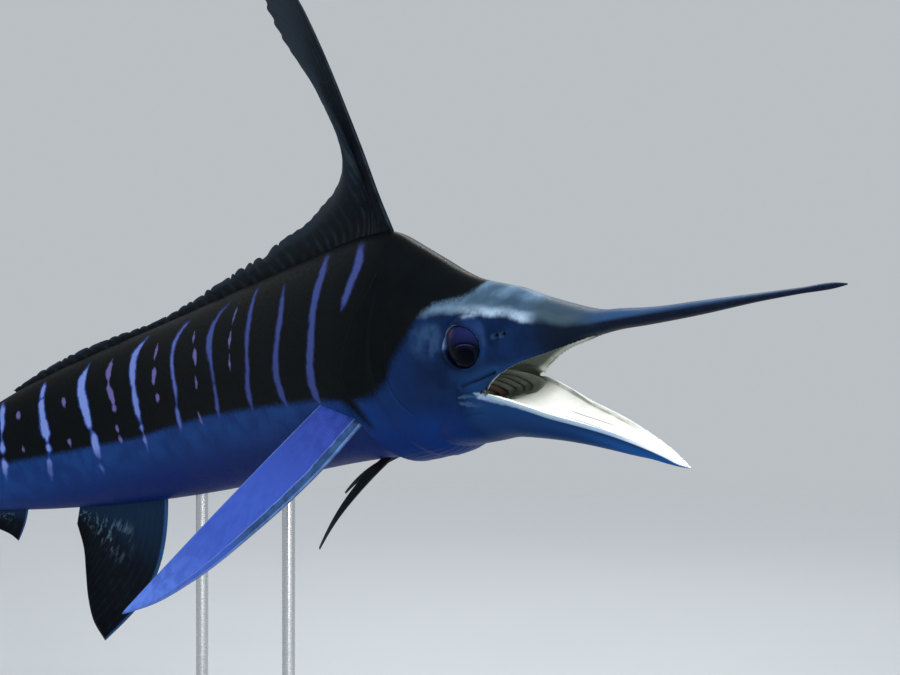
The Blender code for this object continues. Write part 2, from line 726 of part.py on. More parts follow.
def make_lower_jaw(fish, workshop):
    stations = [row[0] for row in JAW if row[0] < JAW_JOINT - 0.01] + [JAW_JOINT - TOUCH_GAP / 2]
    jaw = loft("lower_jaw", [ring(JAW, s, JAW_SIDES) for s in stations], fish, "mouth")
    lips = [lip(JAW, stations[1:-1], flank, 0.0022, 0.0012, workshop) for flank in (-1, 1)]
    boolean(jaw, lips, "UNION", workshop)
    hollow = loft("hollow", [ring(JAW_HOLLOW, row[0], 20) for row in JAW_HOLLOW], workshop, "mouth")
    cheeks = loft("cheeks", head_rings(TOUCH_GAP), workshop, "head")
    boolean(jaw, [hollow, cheeks], "DIFFERENCE", workshop)
    return jaw


def make_bill(fish):
    stations = list(evenly(BILL[0][0], BILL[2][0], 0.020))
    stations += list(evenly(BILL[2][0], BILL_ROOT - TOUCH_GAP / 2, 0.036))[1:]
    return loft("bill", [ring(BILL, station, 14) for station in stations], fish, "bill")


def make_gill_cover(name, flank, fish, workshop):
    """A plate lying on the cheek, thin in front and proud along its rear edge."""
    table = np.array(GILL_COVER).T
    angles = np.linspace(table[0][0], table[0][-1], 15)
    shares = (0.0, 0.08, 0.2, 0.36, 0.5, 0.56, 0.72, 0.88, 1.0)
    swell = (0.10, 0.30, 0.50, 0.62, 0.66, 0.50, 0.70, 0.90, 1.00)
    outer, inner = [], []
    for angle in angles:
        front, rear, proud = (float(smooth(table[0], column, angle)) for column in table[1:])
        turn = math.radians(angle) * flank
        for share, rise in zip(shares, swell):
            station = front + (rear - front) * share
            outer.append(section_point(BODY, station, turn, proud * rise + TOUCH_GAP))
            inner.append(section_point(BODY, station, turn, -GILL_COVER_ROOT))
    rows = len(shares)
    points = [tuple(p) for p in outer + inner]
    back = len(outer)
    faces = []
    for i in range(len(angles) - 1):
        for j in range(rows - 1):
            a, b = i * rows + j, (i + 1) * rows + j
            faces += [(a, b, b + 1), (a, b + 1, a + 1)]
            faces += [(back + a, back + b + 1, back + b), (back + a, back + a + 1, back + b + 1)]
    last = (len(angles) - 1) * rows
    rim = list(range(rows)) + [i * rows + rows - 1 for i in range(1, len(angles))]
    rim += [last + j for j in range(rows - 2, -1, -1)] + [i * rows for i in range(len(angles) - 2, 0, -1)]
    for k, one in enumerate(rim):
        after = rim[(k + 1) % len(rim)]
        faces += [(one, back + one, back + after), (one, back + after, after)]
    mesh = bpy.data.meshes.new(name)
    mesh.from_pydata(points, [], faces)
    face_out(mesh)
    cover = new_object(name, mesh, fish, "head")
    rings = head_rings(TOUCH_GAP) + [ring(BODY, HEAD_END + TOUCH_GAP, HEAD_SIDES, TOUCH_GAP)]
    head = loft("head_cutter", rings, workshop, "head")
    throat = loft("throat_cutter", throat_rings(TOUCH_GAP), workshop, "head")
    boolean(cover, [head, throat, torso_cutter(workshop)], "DIFFERENCE", workshop)
    return cover


def dorsal_front(u, v):
    """The tall lobe: its rays follow the leading edge less and less towards the rear."""
    spread = float(smooth(*np.array(DORSAL_ROOT_SPREAD).T, u))
    root_station = DORSAL_START + (DORSAL_FRONT_END - TOUCH_GAP / 2 - DORSAL_START) * spread
    root = np.array([root_station, sizes(BODY, root_station)[0] - 0.001])
    start, end = np.array(DORSAL_LEADING_EDGE[0]), np.array(DORSAL_LEADING_EDGE[-1])
    bend = along(DORSAL_LEADING_EDGE, v) - start - (end - start) * v
    station, height = root + (along(DORSAL_FRONT_OUTLINE, u) - root) * v + bend * (1 - u) ** 2
    side = DORSAL_FLUTTER * math.sin(math.pi * u) ** 2 * math.sin(2 * math.pi * v)
    return place(station, side, height)


def dorsal_stretch(start, end):
    """One stretch of the front part of the first dorsal fin, between two shares of its root."""

    def surface(u, v):
        return dorsal_front(start + (end - start) * u, v)

    return surface


def low_dorsal(start, end):
    def surface(u, v):
        root = start + (end - start) * u
        height = float(np.interp(root, *np.array(DORSAL_LOW_HEIGHT).T))
        if root < DORSAL_FRONT_END + 0.03:
            height = 0.047
        lean = DORSAL_LOW_LEAN * min(1.0, height / 0.03) * v
        station = root + lean
        return place(station, 0.0, sizes(BODY, root)[0] - 0.001 + height * v - lean * 0.065)

    return surface


def edge_fin(base, outline, bow, sign):
    """A fin on the back or belly, from a stretch of its outline to the fin's own edge."""

    def surface(u, v):
        root = base[0] + (base[1] - base[0]) * u
        top, bottom, _, _ = sizes(BODY, root)
        root_height = top - 0.001 if sign > 0 else bottom + 0.001
        tip_station, tip_height = along(outline, u)
        lift = bow * 4 * v * (1 - v) * (1 - u) ** 2
        station = root + (tip_station - root) * v - lift * 0.6
        return place(station, 0.0, root_height + (tip_height - root_height) * v + sign * lift * 0.8)

    return surface


def blade(root_front, root_rear, tip, chord, lean, sweep):
    """A narrow blade: its rear edge runs almost straight from root to tip, with its chord ahead of that."""
    root_chord = (root_front - root_rear) / np.linalg.norm(root_front - root_rear)

    def surface(u, v):
        width = float(smooth(*np.array(chord).T, v))
        way = root_chord * (1 - v) + lean * v
        way /= np.linalg.norm(way)
        rear = root_rear + (tip - root_rear) * v + lean * sweep * 4 * v * (1 - v)
        return rear + way * width * (1 - u)

    return surface


def make_pectoral(name, flank, fish, workshop):
    (front, front_height), (rear, rear_height) = PECTORAL_ROOT
    root_front = place(front, flank * (flank_side(front, front_height) - 0.001), front_height)
    root_rear = place(rear, flank * (flank_side(rear, rear_height) - 0.001), rear_height)
    _, ahead, left, up = spine_frame((front + rear) / 2)
    fore, out, rise = PECTORAL_REACH[flank]
    reach = LEVEL @ (ahead * fore + left * out * flank + up * rise)
    lean_ahead, lean_out, lean_up = PECTORAL_CHORD_LEAN
    lean = LEVEL @ (ahead * lean_ahead + left * lean_out * flank + up * lean_up)
    lean /= np.linalg.norm(lean)
    tip = (root_front + root_rear) / 2 + reach
    surface = blade(root_front, root_rear, tip, PECTORAL_CHORD, lean, PECTORAL_SWEEP)
    fin = ray_fin(name, surface, PECTORAL_RAYS, 7, 0.0050, fish, "pectoral", lead=1.5)
    boolean(fin, [torso_cutter(workshop)], "DIFFERENCE", workshop)
    return fin


def make_pelvic(name, flank, tip, fish, workshop):
    half = PELVIC_CHORD[0][1] / 2
    height = -0.1335
    root_front = place(PELVIC_ROOT - half, flank * PELVIC_SIDE, height)
    root_rear = place(PELVIC_ROOT + half, flank * PELVIC_SIDE, height)
    _, ahead, left, up = spine_frame(PELVIC_ROOT)
    lean = LEVEL @ (ahead * 0.55 - up * 0.83)
    surface = blade(root_front, root_rear, place(*tip), PELVIC_CHORD, lean, -0.012)
    fin = ray_fin(name, surface, PELVIC_RAYS, 8, 0.0060, fish, "fin", lead=1.2)
    boolean(fin, [torso_cutter(workshop)], "DIFFERENCE", workshop)
    return fin


def tail_lobe(sign):
    def surface(u, v):
        root_station, root_height = along(TAIL_ROOT, u)
        tip_station, tip_height = along(TAIL_EDGE, u)
        lift = TAIL_BOW * 4 * v * (1 - v) * (1 - u) ** 1.5
        station = root_station + (tip_station - root_station) * v - lift * 0.55
        height = root_height + (tip_height - root_height) * v + lift * 0.5
        return place(station, 0.0, sign * max(height, TOUCH_GAP))

    return surface


def make_tail_stem(fish, workshop):
    stem = body_length("tail_stem", REAR_END, STEM_END, fish)
    keels = []
    for height, lean in KEELS:
        for flank in (-1, 1):
            rings = []
            for station in evenly(KEEL_STATIONS[0], KEEL_STATIONS[1], 0.026):
                share = (station - KEEL_STATIONS[0]) / (KEEL_STATIONS[1] - KEEL_STATIONS[0])
                swell = 0.12 + 0.88 * math.sin(math.pi * min(0.97, max(0.03, share))) ** 0.7
                half = flank_side(station, height)
                centre = (half - 0.004, height + lean * 0.004 * share)
                one = []
                for k in range(6):
                    angle = 2 * math.pi * k / 6
                    out = centre[0] + (KEEL_HEIGHT * swell + 0.004) * math.cos(angle)
                    rise = centre[1] + KEEL_THICKNESS * swell * math.sin(angle)
                    one.append(place(station, flank * out, rise))
                rings.append(one)
            keels.append(loft("keel", rings, workshop, "back"))
    boolean(stem, keels, "UNION", workshop)
    return stem


def make_fins(fish, workshop):
    low_ends = (DORSAL_FRONT_END, DORSAL_MIDDLE_END, DORSAL_END)
    middle = low_dorsal(low_ends[0] + TOUCH_GAP / 2, low_ends[1] - TOUCH_GAP / 2)
    rear = low_dorsal(low_ends[1] + TOUCH_GAP / 2, low_ends[2])
    second_dorsal = edge_fin(SECOND_DORSAL_BASE, SECOND_DORSAL_OUTLINE, 0.004, 1)
    anal = edge_fin((ANAL_START, ANAL_END), ANAL_OUTLINE, ANAL_BOW, -1)
    second_anal = edge_fin(SECOND_ANAL_BASE, SECOND_ANAL_OUTLINE, 0.004, -1)
    parting = TOUCH_GAP / (DORSAL_FRONT_END - DORSAL_START)
    peak = dorsal_stretch(0.0, DORSAL_PEAK_SHARE - parting / 2)
    slope = dorsal_stretch(DORSAL_PEAK_SHARE + parting / 2, 1.0)
    fins = (
        ("dorsal_fin_peak", peak, DORSAL_FRONT_RAYS[0], 9, 0.0050, 0.0, 1.7),
        ("dorsal_fin_slope", slope, DORSAL_FRONT_RAYS[1], 9, 0.0044, 0.0, 1.0),
        ("dorsal_fin_middle", middle, DORSAL_LOW_RAYS[0], 3, 0.0040, 0.14, 1.0),
        ("dorsal_fin_rear", rear, DORSAL_LOW_RAYS[1], 3, 0.0036, 0.16, 1.0),
        ("second_dorsal_fin", second_dorsal, SMALL_FIN_RAYS, 4, 0.0034, 0.0, 1.4),
        ("anal_fin", anal, ANAL_RAYS, 7, 0.0046, 0.0, 1.8),
        ("second_anal_fin", second_anal, SMALL_FIN_RAYS, 4, 0.0034, 0.0, 1.4),
        ("tail_fin_upper", tail_lobe(1), TAIL_RAYS, 6, 0.0090, 0.0, 1.5),
        ("tail_fin_lower", tail_lobe(-1), TAIL_RAYS, 6, 0.0090, 0.0, 1.5),
    )
    for name, surface, rays, rows, thickness, notch, lead in fins:
        fin = ray_fin(name, surface, rays, rows, thickness, fish, "fin", notch, lead)
        cutters = [torso_cutter(workshop)]
        boolean(fin, cutters, "DIFFERENCE", workshop)
    make_pectoral("pectoral_fin_left", 1, fish, workshop)
    make_pectoral("pectoral_fin_right", -1, fish, workshop)
    for flank, tip in PELVIC_TIPS:
        make_pelvic("pelvic_fin_left" if flank > 0 else "pelvic_fin_right", flank, tip, fish, workshop)


def bounds(objects):
    corners = np.array([vert.co[:] for obj in objects for vert in obj.data.vertices])
    return corners.min(axis=0), corners.max(axis=0)


def move_all(objects, shift):
    for obj in objects:
        obj.data.transform(Matrix.Translation(shift.tolist()))


def make_base(fish, height):
    """A flat plate with round corners, its underside on the floor."""
    length, width, thick = BASE_SIZE
    outline = []
    for corner in range(4):
        turn = math.pi / 2 * corner
        x = (length / 2 - BASE_CORNER) * (1 if corner in (0, 3) else -1)
        y = (width / 2 - BASE_CORNER) * (1 if corner in (0, 1) else -1)
        for k in range(7):
            angle = turn + math.pi / 2 * k / 6
            outline.append((x + BASE_CORNER * math.cos(angle), y + BASE_CORNER * math.sin(angle)))
    rings = []
    eased = BASE_EDGE * 0.3
    for inset, z in ((0.0, 0.0), (0.0, thick - BASE_EDGE), (eased, thick - eased), (BASE_EDGE, thick)):
        grow_x = 1 - 2 * inset / length
        grow_y = 1 - 2 * inset / width
        ring = []
        for x, y in outline:
            ring.append((BASE_CENTRE[0] + x * grow_x, BASE_CENTRE[1] + y * grow_y, z - height))
        rings.append(ring)
    return loft("stand_base", rings, fish, "plinth")


def make_rod(name, station, height, fish, workshop):
    """A turned rod with a foot collar, its top shaped to the belly it carries."""
    belly = place(station, 0.0, sizes(BODY, station)[1])
    foot = BASE_SIZE[2] + TOUCH_GAP - height
    collar_radius, collar_thick = ROD_COLLAR
    top = belly[2] + 0.05
    collar_top = foot + collar_thick
    profile = [(0.0, top), (ROD_RADIUS, top), (ROD_RADIUS, collar_top), (collar_radius - 0.003, collar_top)]
    profile += [(collar_radius, collar_top - 0.003), (collar_radius, foot), (0.0, foot)]
    mesh = bpy.data.meshes.new(name)
    mesh.from_pydata([(x, 0.0, z) for x, z in profile], [(i, i + 1) for i in range(len(profile) - 1)], [])
    rod = new_object(name, mesh, fish, "steel")
    screw = rod.modifiers.new("turn", "SCREW")
    screw.steps = 24
    screw.render_steps = 24
    screw.use_merge_vertices = True
    screw.merge_threshold = 0.00001
    bpy.context.view_layer.update()
    apply_modifiers(rod)
    face_out(rod.data)
    rod.data.transform(Matrix.Translation((belly[0], belly[1], 0.0)))
    boolean(rod, [torso_cutter(workshop)], "DIFFERENCE", workshop)
    return rod


def build():
    clear_scene()
    fish = new_collection("striped_marlin")
    workshop = new_collection("cutters")
    make_head(fish, workshop)
    make_lower_jaw(fish, workshop)
    make_bill(fish)
    for name, flank in (("left", 1), ("right", -1)):
        eyeball("eye_" + name, flank, fish)
        make_gill_cover("gill_cover_" + name, flank, fish, workshop)
    body_length("shoulder", HEAD_END, SHOULDER_END, fish)
    body_length("mid_body", SHOULDER_END, MIDDLE_END, fish)
    body_length("rear_body", MIDDLE_END, REAR_END, fish)
    make_tail_stem(fish, workshop)
    make_fins(fish, workshop)
    lowest, _ = bounds(fish.objects)
    height = FLOOR_CLEARANCE - lowest[2]
    make_base(fish, height)
    for name, station in ROD_STATIONS.items():
        make_rod("stand_rod_" + name, station, height, fish, workshop)
    low, high = bounds(fish.objects)
    move_all(fish.objects, np.array([-(low[0] + high[0]) / 2, -(low[1] + high[1]) / 2, -low[2]]))
    for obj in fish.objects:
        obj.data.shade_smooth()
        obj.data.set_sharp_from_angle(angle=math.radians(35))


build()
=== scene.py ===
"""The looks of a life-size striped marlin with its mouth open, on a display stand. Metres, +Z up."""

import math

import bmesh
import bpy
import numpy as np
from mathutils import Matrix, Vector


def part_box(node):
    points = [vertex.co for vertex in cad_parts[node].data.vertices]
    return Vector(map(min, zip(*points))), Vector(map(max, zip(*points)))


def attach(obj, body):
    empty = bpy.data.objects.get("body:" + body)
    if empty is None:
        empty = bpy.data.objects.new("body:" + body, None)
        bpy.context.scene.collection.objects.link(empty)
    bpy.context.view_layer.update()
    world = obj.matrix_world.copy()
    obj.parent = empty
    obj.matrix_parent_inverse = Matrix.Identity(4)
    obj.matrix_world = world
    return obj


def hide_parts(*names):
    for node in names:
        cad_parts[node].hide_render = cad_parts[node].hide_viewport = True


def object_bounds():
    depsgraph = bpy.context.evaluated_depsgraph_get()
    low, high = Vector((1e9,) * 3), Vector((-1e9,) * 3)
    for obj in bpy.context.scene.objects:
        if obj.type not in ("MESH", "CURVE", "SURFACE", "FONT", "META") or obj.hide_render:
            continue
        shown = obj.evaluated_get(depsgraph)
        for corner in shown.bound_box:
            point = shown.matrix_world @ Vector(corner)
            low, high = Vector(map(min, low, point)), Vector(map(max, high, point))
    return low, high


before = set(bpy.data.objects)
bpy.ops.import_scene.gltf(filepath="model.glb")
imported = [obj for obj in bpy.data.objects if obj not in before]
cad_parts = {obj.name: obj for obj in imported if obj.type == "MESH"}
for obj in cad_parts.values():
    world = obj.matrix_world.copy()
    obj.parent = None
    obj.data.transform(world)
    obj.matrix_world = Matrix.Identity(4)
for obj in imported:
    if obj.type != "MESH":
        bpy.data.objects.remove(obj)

cad_low, cad_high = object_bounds()

# The stand's plate: a board of hardwood with rounded corners, sprayed with black lacquer and
# rubbed down to a satin. The grain shows only as faint, long ripples under the lacquer.


def linear(hex_colour):
    """A colour given in sRGB hex, as linear values with full alpha."""
    shares = [int(hex_colour[k : k + 2], 16) / 255 for k in (1, 3, 5)]
    return (*(s / 12.92 if s <= 0.04045 else ((s + 0.055) / 1.055) ** 2.4 for s in shares), 1.0)


def add(tree, kind, inputs=None, out=None, **settings):
    """Adds a node. Each input, by name or place, is a plain value or another node's output.

    Gives back the node, or the one of its outputs that out names or counts.
    """
    node = tree.nodes.new(kind)
    for name, value in settings.items():
        setattr(node, name, value)
    for key, value in (inputs or {}).items():
        if isinstance(value, bpy.types.NodeSocket):
            tree.links.new(value, node.inputs[key])
        else:
            node.inputs[key].default_value = value
    return node if out is None else node.outputs[out]


def new_finish(name):
    """An empty material, its tree and its Principled shader."""
    finish = bpy.data.materials.new(name)
    finish.use_nodes = True
    return finish, finish.node_tree, finish.node_tree.nodes["Principled BSDF"]


def dress(node_name, finish):
    """Gives a piece of the fixed frame its finish."""
    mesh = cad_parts[node_name].data
    mesh.materials.clear()
    mesh.materials.append(finish)


def textured(tree, shader, where, size, detail, strength, depth):
    """Gives a finish a fine relief of marks of a size in metres, and returns their pattern."""
    inputs = {"Vector": where, "Scale": 1 / size, "Detail": detail}
    marks = add(tree, "ShaderNodeTexNoise", inputs, 0)
    relief = add(tree, "ShaderNodeBump", {"Height": marks, "Strength": strength, "Distance": depth}, 0)
    tree.links.new(relief, shader.inputs["Normal"])
    return marks


# Black lacquer: soft, wide reflections that waver a little with the grain
lacquer, tree, shader = new_finish("black_lacquered_hardwood")
shader.inputs["Roughness"].default_value = 0.34
shader.inputs["IOR"].default_value = 1.5
where = add(tree, "ShaderNodeTexCoord", out="Object")
GRAIN_WIDTH = 0.004
ALONG_GRAIN = (0.06, 1.0, 1.0)
stretched = add(tree, "ShaderNodeVectorMath", {0: where, 1: ALONG_GRAIN}, 0, operation="MULTIPLY")
grain = textured(tree, shader, stretched, GRAIN_WIDTH, 3.0, 0.12, 0.0003)
blacks = {0: grain, 6: linear("#17181a"), 7: linear("#232426")}
shade = add(tree, "ShaderNodeMix", blacks, 2, data_type="RGBA")
tree.links.new(shade, shader.inputs["Base Color"])
dress("stand_base", lacquer)

# Two rods with foot collars: turned stainless steel, brushed round and round, so that fine
# rings stretch the highlights along each rod. They carry the belly.

steel, tree, shader = new_finish("brushed_stainless_steel")
shader.inputs["Metallic"].default_value = 1.0
shader.inputs["Base Color"].default_value = linear("#c9cbcd")
where = add(tree, "ShaderNodeTexCoord", out="Object")
BRUSH_PITCH = 0.0012  # real brush marks are finer; drawn as coarse as the render shows
ROUND_THE_ROD = (0.05, 0.05, 1.0)
stretched = add(tree, "ShaderNodeVectorMath", {0: where, 1: ROUND_THE_ROD}, 0, operation="MULTIPLY")
brush = textured(tree, shader, stretched, BRUSH_PITCH, 2.0, 0.15, 0.0002)
sheen = add(tree, "ShaderNodeMapRange", {"Value": brush, "To Min": 0.20, "To Max": 0.36}, 0)
tree.links.new(sheen, shader.inputs["Roughness"])
for rod in ("stand_rod_front", "stand_rod_rear"):
    dress(rod, steel)

# The fish itself is one skin from bill to tail. Its places are given as station (metres behind
# the tip of the closed lower jaw, along the spine), side (to the fish's left) and height.

NOSE_UP = math.radians(4.9)
BANK = math.radians(12.7)
REFERENCE_STATION = 0.45
NECK_STATION = 0.30
TAIL_END = 2.40
SIDE_BEND = (
    (0.30, 0.0), (0.42, -0.36), (0.55, 0.27), (0.80, 0.27), (1.20, 0.50), (1.60, 0.20), (TAIL_END, 0.20),
)
TAIL_DROOP = 0.076
EYE_STATION, EYE_SIDE, EYE_HEIGHT = 0.262, 0.0445, 0.003

# Body sections: station, back, belly, half width, height of the widest line
BODY = (
    (0.02, 0.0135, -0.0105, 0.0175, 0.001),
    (0.05, 0.0155, -0.0125, 0.0215, 0.000),
    (0.08, 0.0216, -0.0165, 0.0255, -0.002),
    (0.11, 0.0303, -0.0230, 0.0300, -0.005),
    (0.15, 0.0429, -0.0340, 0.0370, -0.009),
    (0.195, 0.0589, -0.0460, 0.0445, -0.012),
    (0.24, 0.0708, -0.0640, 0.0525, -0.013),
    (0.28, 0.0821, -0.0900, 0.0595, -0.012),
    (0.32, 0.0996, -0.1130, 0.0665, -0.009),
    (0.36, 0.1216, -0.1290, 0.0725, -0.005),
    (0.40, 0.1428, -0.1360, 0.0780, -0.002),
    (0.44, 0.1627, -0.1380, 0.0835, 0.000),
    (0.50, 0.1690, -0.1385, 0.0890, 0.000),
    (0.57, 0.1680, -0.1380, 0.0925, 0.000),
    (0.65, 0.1630, -0.1400, 0.0950, 0.000),
    (0.80, 0.1530, -0.1460, 0.0935, 0.000),
    (0.95, 0.1440, -0.1520, 0.0900, 0.000),
    (1.10, 0.1350, -0.1530, 0.0830, 0.000),
    (1.27, 0.1270, -0.1470, 0.0750, 0.000),
    (1.45, 0.1170, -0.1300, 0.0640, 0.000),
    (1.60, 0.1030, -0.1090, 0.0530, 0.000),
    (1.75, 0.0780, -0.0800, 0.0410, 0.000),
    (1.87, 0.0500, -0.0500, 0.0330, 0.000),
    (1.95, 0.0370, -0.0370, 0.0270, 0.000),
    (2.00, 0.0330, -0.0330, 0.0130, 0.000),
)
BELLY_FULLNESS = ((0.02, 2.2), (0.08, 2.7), (0.20, 3.0), (0.26, 2.6), (0.34, 2.25))
BACK_FULLNESS = ((0.10, 2.0), (0.28, 1.6), (0.46, 1.6), (0.75, 1.85), (1.20, 2.0))
PLAIN_FULLNESS = 2.25
BILL = (
    (-0.334, 0.0008, -0.0008, 0.0012, 0.0),
    (-0.325, 0.0026, -0.0018, 0.0030, 0.0),
    (-0.270, 0.0040, -0.0024, 0.0060, 0.0),
    (-0.212, 0.0052, -0.0036, 0.0086, 0.0),
    (-0.120, 0.0074, -0.0078, 0.0125, 0.0),
    (-0.030, 0.0095, -0.0100, 0.0155, 0.0),
    (0.020, 0.0135, -0.0105, 0.0175, 0.001),
)
# Lower jaw and throat: station, lip, underside, half width, height of the widest line
JAW = (
    (-0.043, -0.1740, -0.1760, 0.0012, -0.1750),
    (-0.030, -0.1665, -0.1735, 0.0055, -0.1695),
    (-0.012, -0.1560, -0.1695, 0.0095, -0.1590),
    (0.012, -0.1430, -0.1630, 0.0138, -0.1470),
    (0.041, -0.1295, -0.1570, 0.0188, -0.1345),
    (0.071, -0.1165, -0.1500, 0.0240, -0.1230),
    (0.109, -0.1025, -0.1415, 0.0302, -0.1105),
    (0.151, -0.0880, -0.1340, 0.0365, -0.0975),
    (0.184, -0.0740, -0.1295, 0.0418, -0.0850),
    (0.215, -0.0620, -0.1260, 0.0466, -0.0740),
    (0.245, -0.0530, -0.1235, 0.0512, -0.0650),
    (0.300, -0.0530, -0.1265, 0.0570, -0.0730),
    (0.340, -0.0580, -0.1280, 0.0560, -0.0840),
    (0.385, -0.0700, -0.1240, 0.0500, -0.0950),
)
# The floor of the mouth lies a little below the lips: station, depth
FLOOR_DEPTH = (
    (-0.028, 0.0010), (0.012, 0.0022), (0.041, 0.0030), (0.109, 0.0045), (0.184, 0.0062), (0.285, 0.0075),
)
LIP_WIDTH = ((-0.028, 0.0022), (0.012, 0.0034), (0.109, 0.0042), (0.285, 0.0060))
# Roof of the mouth and throat: station, top, underside, half width, height of the widest line
MOUTH_HOLLOW = (
    (0.055, -0.0097, -0.0300, 0.0145, -0.0120),
    (0.080, -0.0100, -0.0400, 0.0194, -0.0163),
    (0.120, -0.0110, -0.0550, 0.0294, -0.0235),
    (0.160, -0.0130, -0.0680, 0.0387, -0.0302),
    (0.200, -0.0185, -0.0800, 0.0450, -0.0404),
    (0.220, -0.0240, -0.0785, 0.0469, -0.0474),
    (0.235, -0.0305, -0.0745, 0.0468, -0.0544),
    (0.252, -0.0370, -0.0735, 0.0425, -0.0600),
    (0.275, -0.0410, -0.0740, 0.0405, -0.0630),
    (0.310, -0.0440, -0.0770, 0.0370, -0.0660),
    (0.345, -0.0500, -0.0800, 0.0310, -0.0690),
    (0.372, -0.0600, -0.0800, 0.0180, -0.0715),
)


def smooth(knots, values, at):
    """A cubic curve through the knots, whose slope at each comes from its neighbours."""
    knots = np.asarray(knots, float)
    values = np.asarray(values, float)
    slopes = np.gradient(values, knots)
    at = np.clip(at, knots[0], knots[-1])
    i = np.clip(np.searchsorted(knots, at) - 1, 0, len(knots) - 2)
    width = knots[i + 1] - knots[i]
    t = (at - knots[i]) / width
    start = values[i] * (1 + 2 * t) * (1 - t) ** 2 + slopes[i] * width * t * (1 - t) ** 2
    return start + values[i + 1] * t * t * (3 - 2 * t) - slopes[i + 1] * width * t * t * (1 - t)


def ways_ahead(tilt, turn):
    """The ways that the spine runs at some tilts and turns."""
    return np.stack([np.cos(tilt) * np.cos(turn), np.cos(tilt) * np.sin(turn), np.sin(tilt)], axis=-1)


def bent_spine():
    """Stations, points, headings and droop along the spine; the reference station is the origin."""
    stations = np.linspace(NECK_STATION, TAIL_END, 421)
    bend = np.interp(stations, *np.array(SIDE_BEND).T)
    step = stations[1] - stations[0]
    heading = np.concatenate([[0.0], np.cumsum((bend[1:] + bend[:-1]) / 2) * step])
    heading -= np.interp(REFERENCE_STATION, stations, heading)
    droop = TAIL_DROOP * np.clip(stations - REFERENCE_STATION, 0, None)
    ahead = ways_ahead(droop, heading)
    points = np.zeros_like(ahead)
    points[1:] = -np.cumsum((ahead[1:] + ahead[:-1]) / 2, axis=0) * step
    points -= [np.interp(REFERENCE_STATION, stations, column) for column in points.T]
    return stations, points, heading, droop


SPINE = bent_spine()
nose_cos, nose_sin = math.cos(NOSE_UP), math.sin(NOSE_UP)
bank_cos, bank_sin = math.cos(BANK), math.sin(BANK)
pitch = np.array([[nose_cos, 0, -nose_sin], [0, 1, 0], [nose_sin, 0, nose_cos]])
roll = np.array([[1, 0, 0], [0, bank_cos, -bank_sin], [0, bank_sin, bank_cos]])
LEVEL = pitch @ roll


def spine_frames(station):
    """Points of the spine, and the ways ahead, left and up there, in the fish's own axes."""
    stations, points, heading, droop = SPINE
    station = np.asarray(station, float)
    turn = np.interp(station, stations, heading)
    tilt = np.interp(station, stations, droop)
    ahead = ways_ahead(tilt, turn)
    left = np.stack([-np.sin(turn), np.cos(turn), np.zeros_like(turn)], axis=-1)
    point = np.stack([np.interp(station, stations, column) for column in points.T], axis=-1)
    point = point + ahead * np.clip(NECK_STATION - station, 0, None)[..., None]
    return point, ahead, left, np.cross(ahead, left)


def from_reference(station, side, height):
    """Points of the fish in the room's axes, from its reference point."""
    point, _, left, up = spine_frames(station)
    return (point + left * np.asarray(side)[..., None] + up * np.asarray(height)[..., None]) @ LEVEL.T


eye_boxes = [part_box("eye_" + flank) for flank in ("left", "right")]
eye_middle = np.mean([np.array(corner) for box in eye_boxes for corner in box], axis=0)
REFERENCE_POINT = eye_middle - from_reference(EYE_STATION, 0.0, EYE_HEIGHT)


def place(station, side, height):
    """Points of the fish in the room."""
    return from_reference(station, side, height) + REFERENCE_POINT


BILL_END = -0.40


def fish_places(points):
    """Station, side and height of points in the room."""
    local = (np.asarray(points, float) - REFERENCE_POINT) @ LEVEL
    station = np.clip(REFERENCE_STATION - local[:, 0], BILL_END, TAIL_END)
    for _ in range(12):
        point, ahead, _, _ = spine_frames(station)
        station = np.clip(station - np.sum((local - point) * ahead, axis=1), BILL_END, TAIL_END)
    point, _, left, up = spine_frames(station)
    return station, np.sum((local - point) * left, axis=1), np.sum((local - point) * up, axis=1)


def sizes(table, station):
    """The numbers of a table's rows at some stations."""
    columns = np.array(table).T
    return [smooth(columns[0], column, station) for column in columns[1:]]


def fullness(table, station, above):
    """The power of a section's curve: 2 is an ellipse, and more is squarer."""
    if table is not BODY:
        return np.full(np.shape(station), PLAIN_FULLNESS)
    back = np.interp(station, *np.array(BACK_FULLNESS).T)
    belly = np.interp(station, *np.array(BELLY_FULLNESS).T)
    return np.where(above, back, belly)


def section(table, station, angle):
    """Side and height of section points; the angle starts at the back and passes the left side."""
    top, bottom, half, middle = sizes(table, station)
    sine, cosine = np.sin(angle), np.cos(angle)
    power = 2 / fullness(table, station, cosine > 0)
    reach = np.where(cosine > 0, top - middle, middle - bottom)
    side = half * np.sign(sine) * np.abs(sine) ** power
    return side, middle + reach * np.sign(cosine) * np.abs(cosine) ** power


def shape_at(table, station, height):
    """Half width and widest height of a section, its reach up or down from there, and fullness."""
    top, bottom, half, middle = sizes(table, station)
    above = height > middle
    return half, middle, np.where(above, top - middle, middle - bottom), fullness(table, station, above)


def flank_side(station, height):
    """How far the skin is from the middle plane at a height on the flank."""
    half, middle, reach, power = shape_at(BODY, station, height)
    share = np.clip(np.abs(height - middle) / reach, 0, 1)
    return half * (1 - share**power) ** (1 / power)


def depth_in(table, station, side, height):
    """Roughly how deep points lie inside a tapering form, negative outside it or past its ends."""
    half, middle, reach, power = shape_at(table, station, height)
    level = (np.abs(side / half) ** power + np.abs((height - middle) / reach) ** power) ** (1 / power)
    depth = (1 - level) * np.minimum(half, reach)
    past = np.maximum(table[0][0] - station, station - table[-1][0])
    return np.where(past > 0, -np.abs(past) - 0.001, depth)


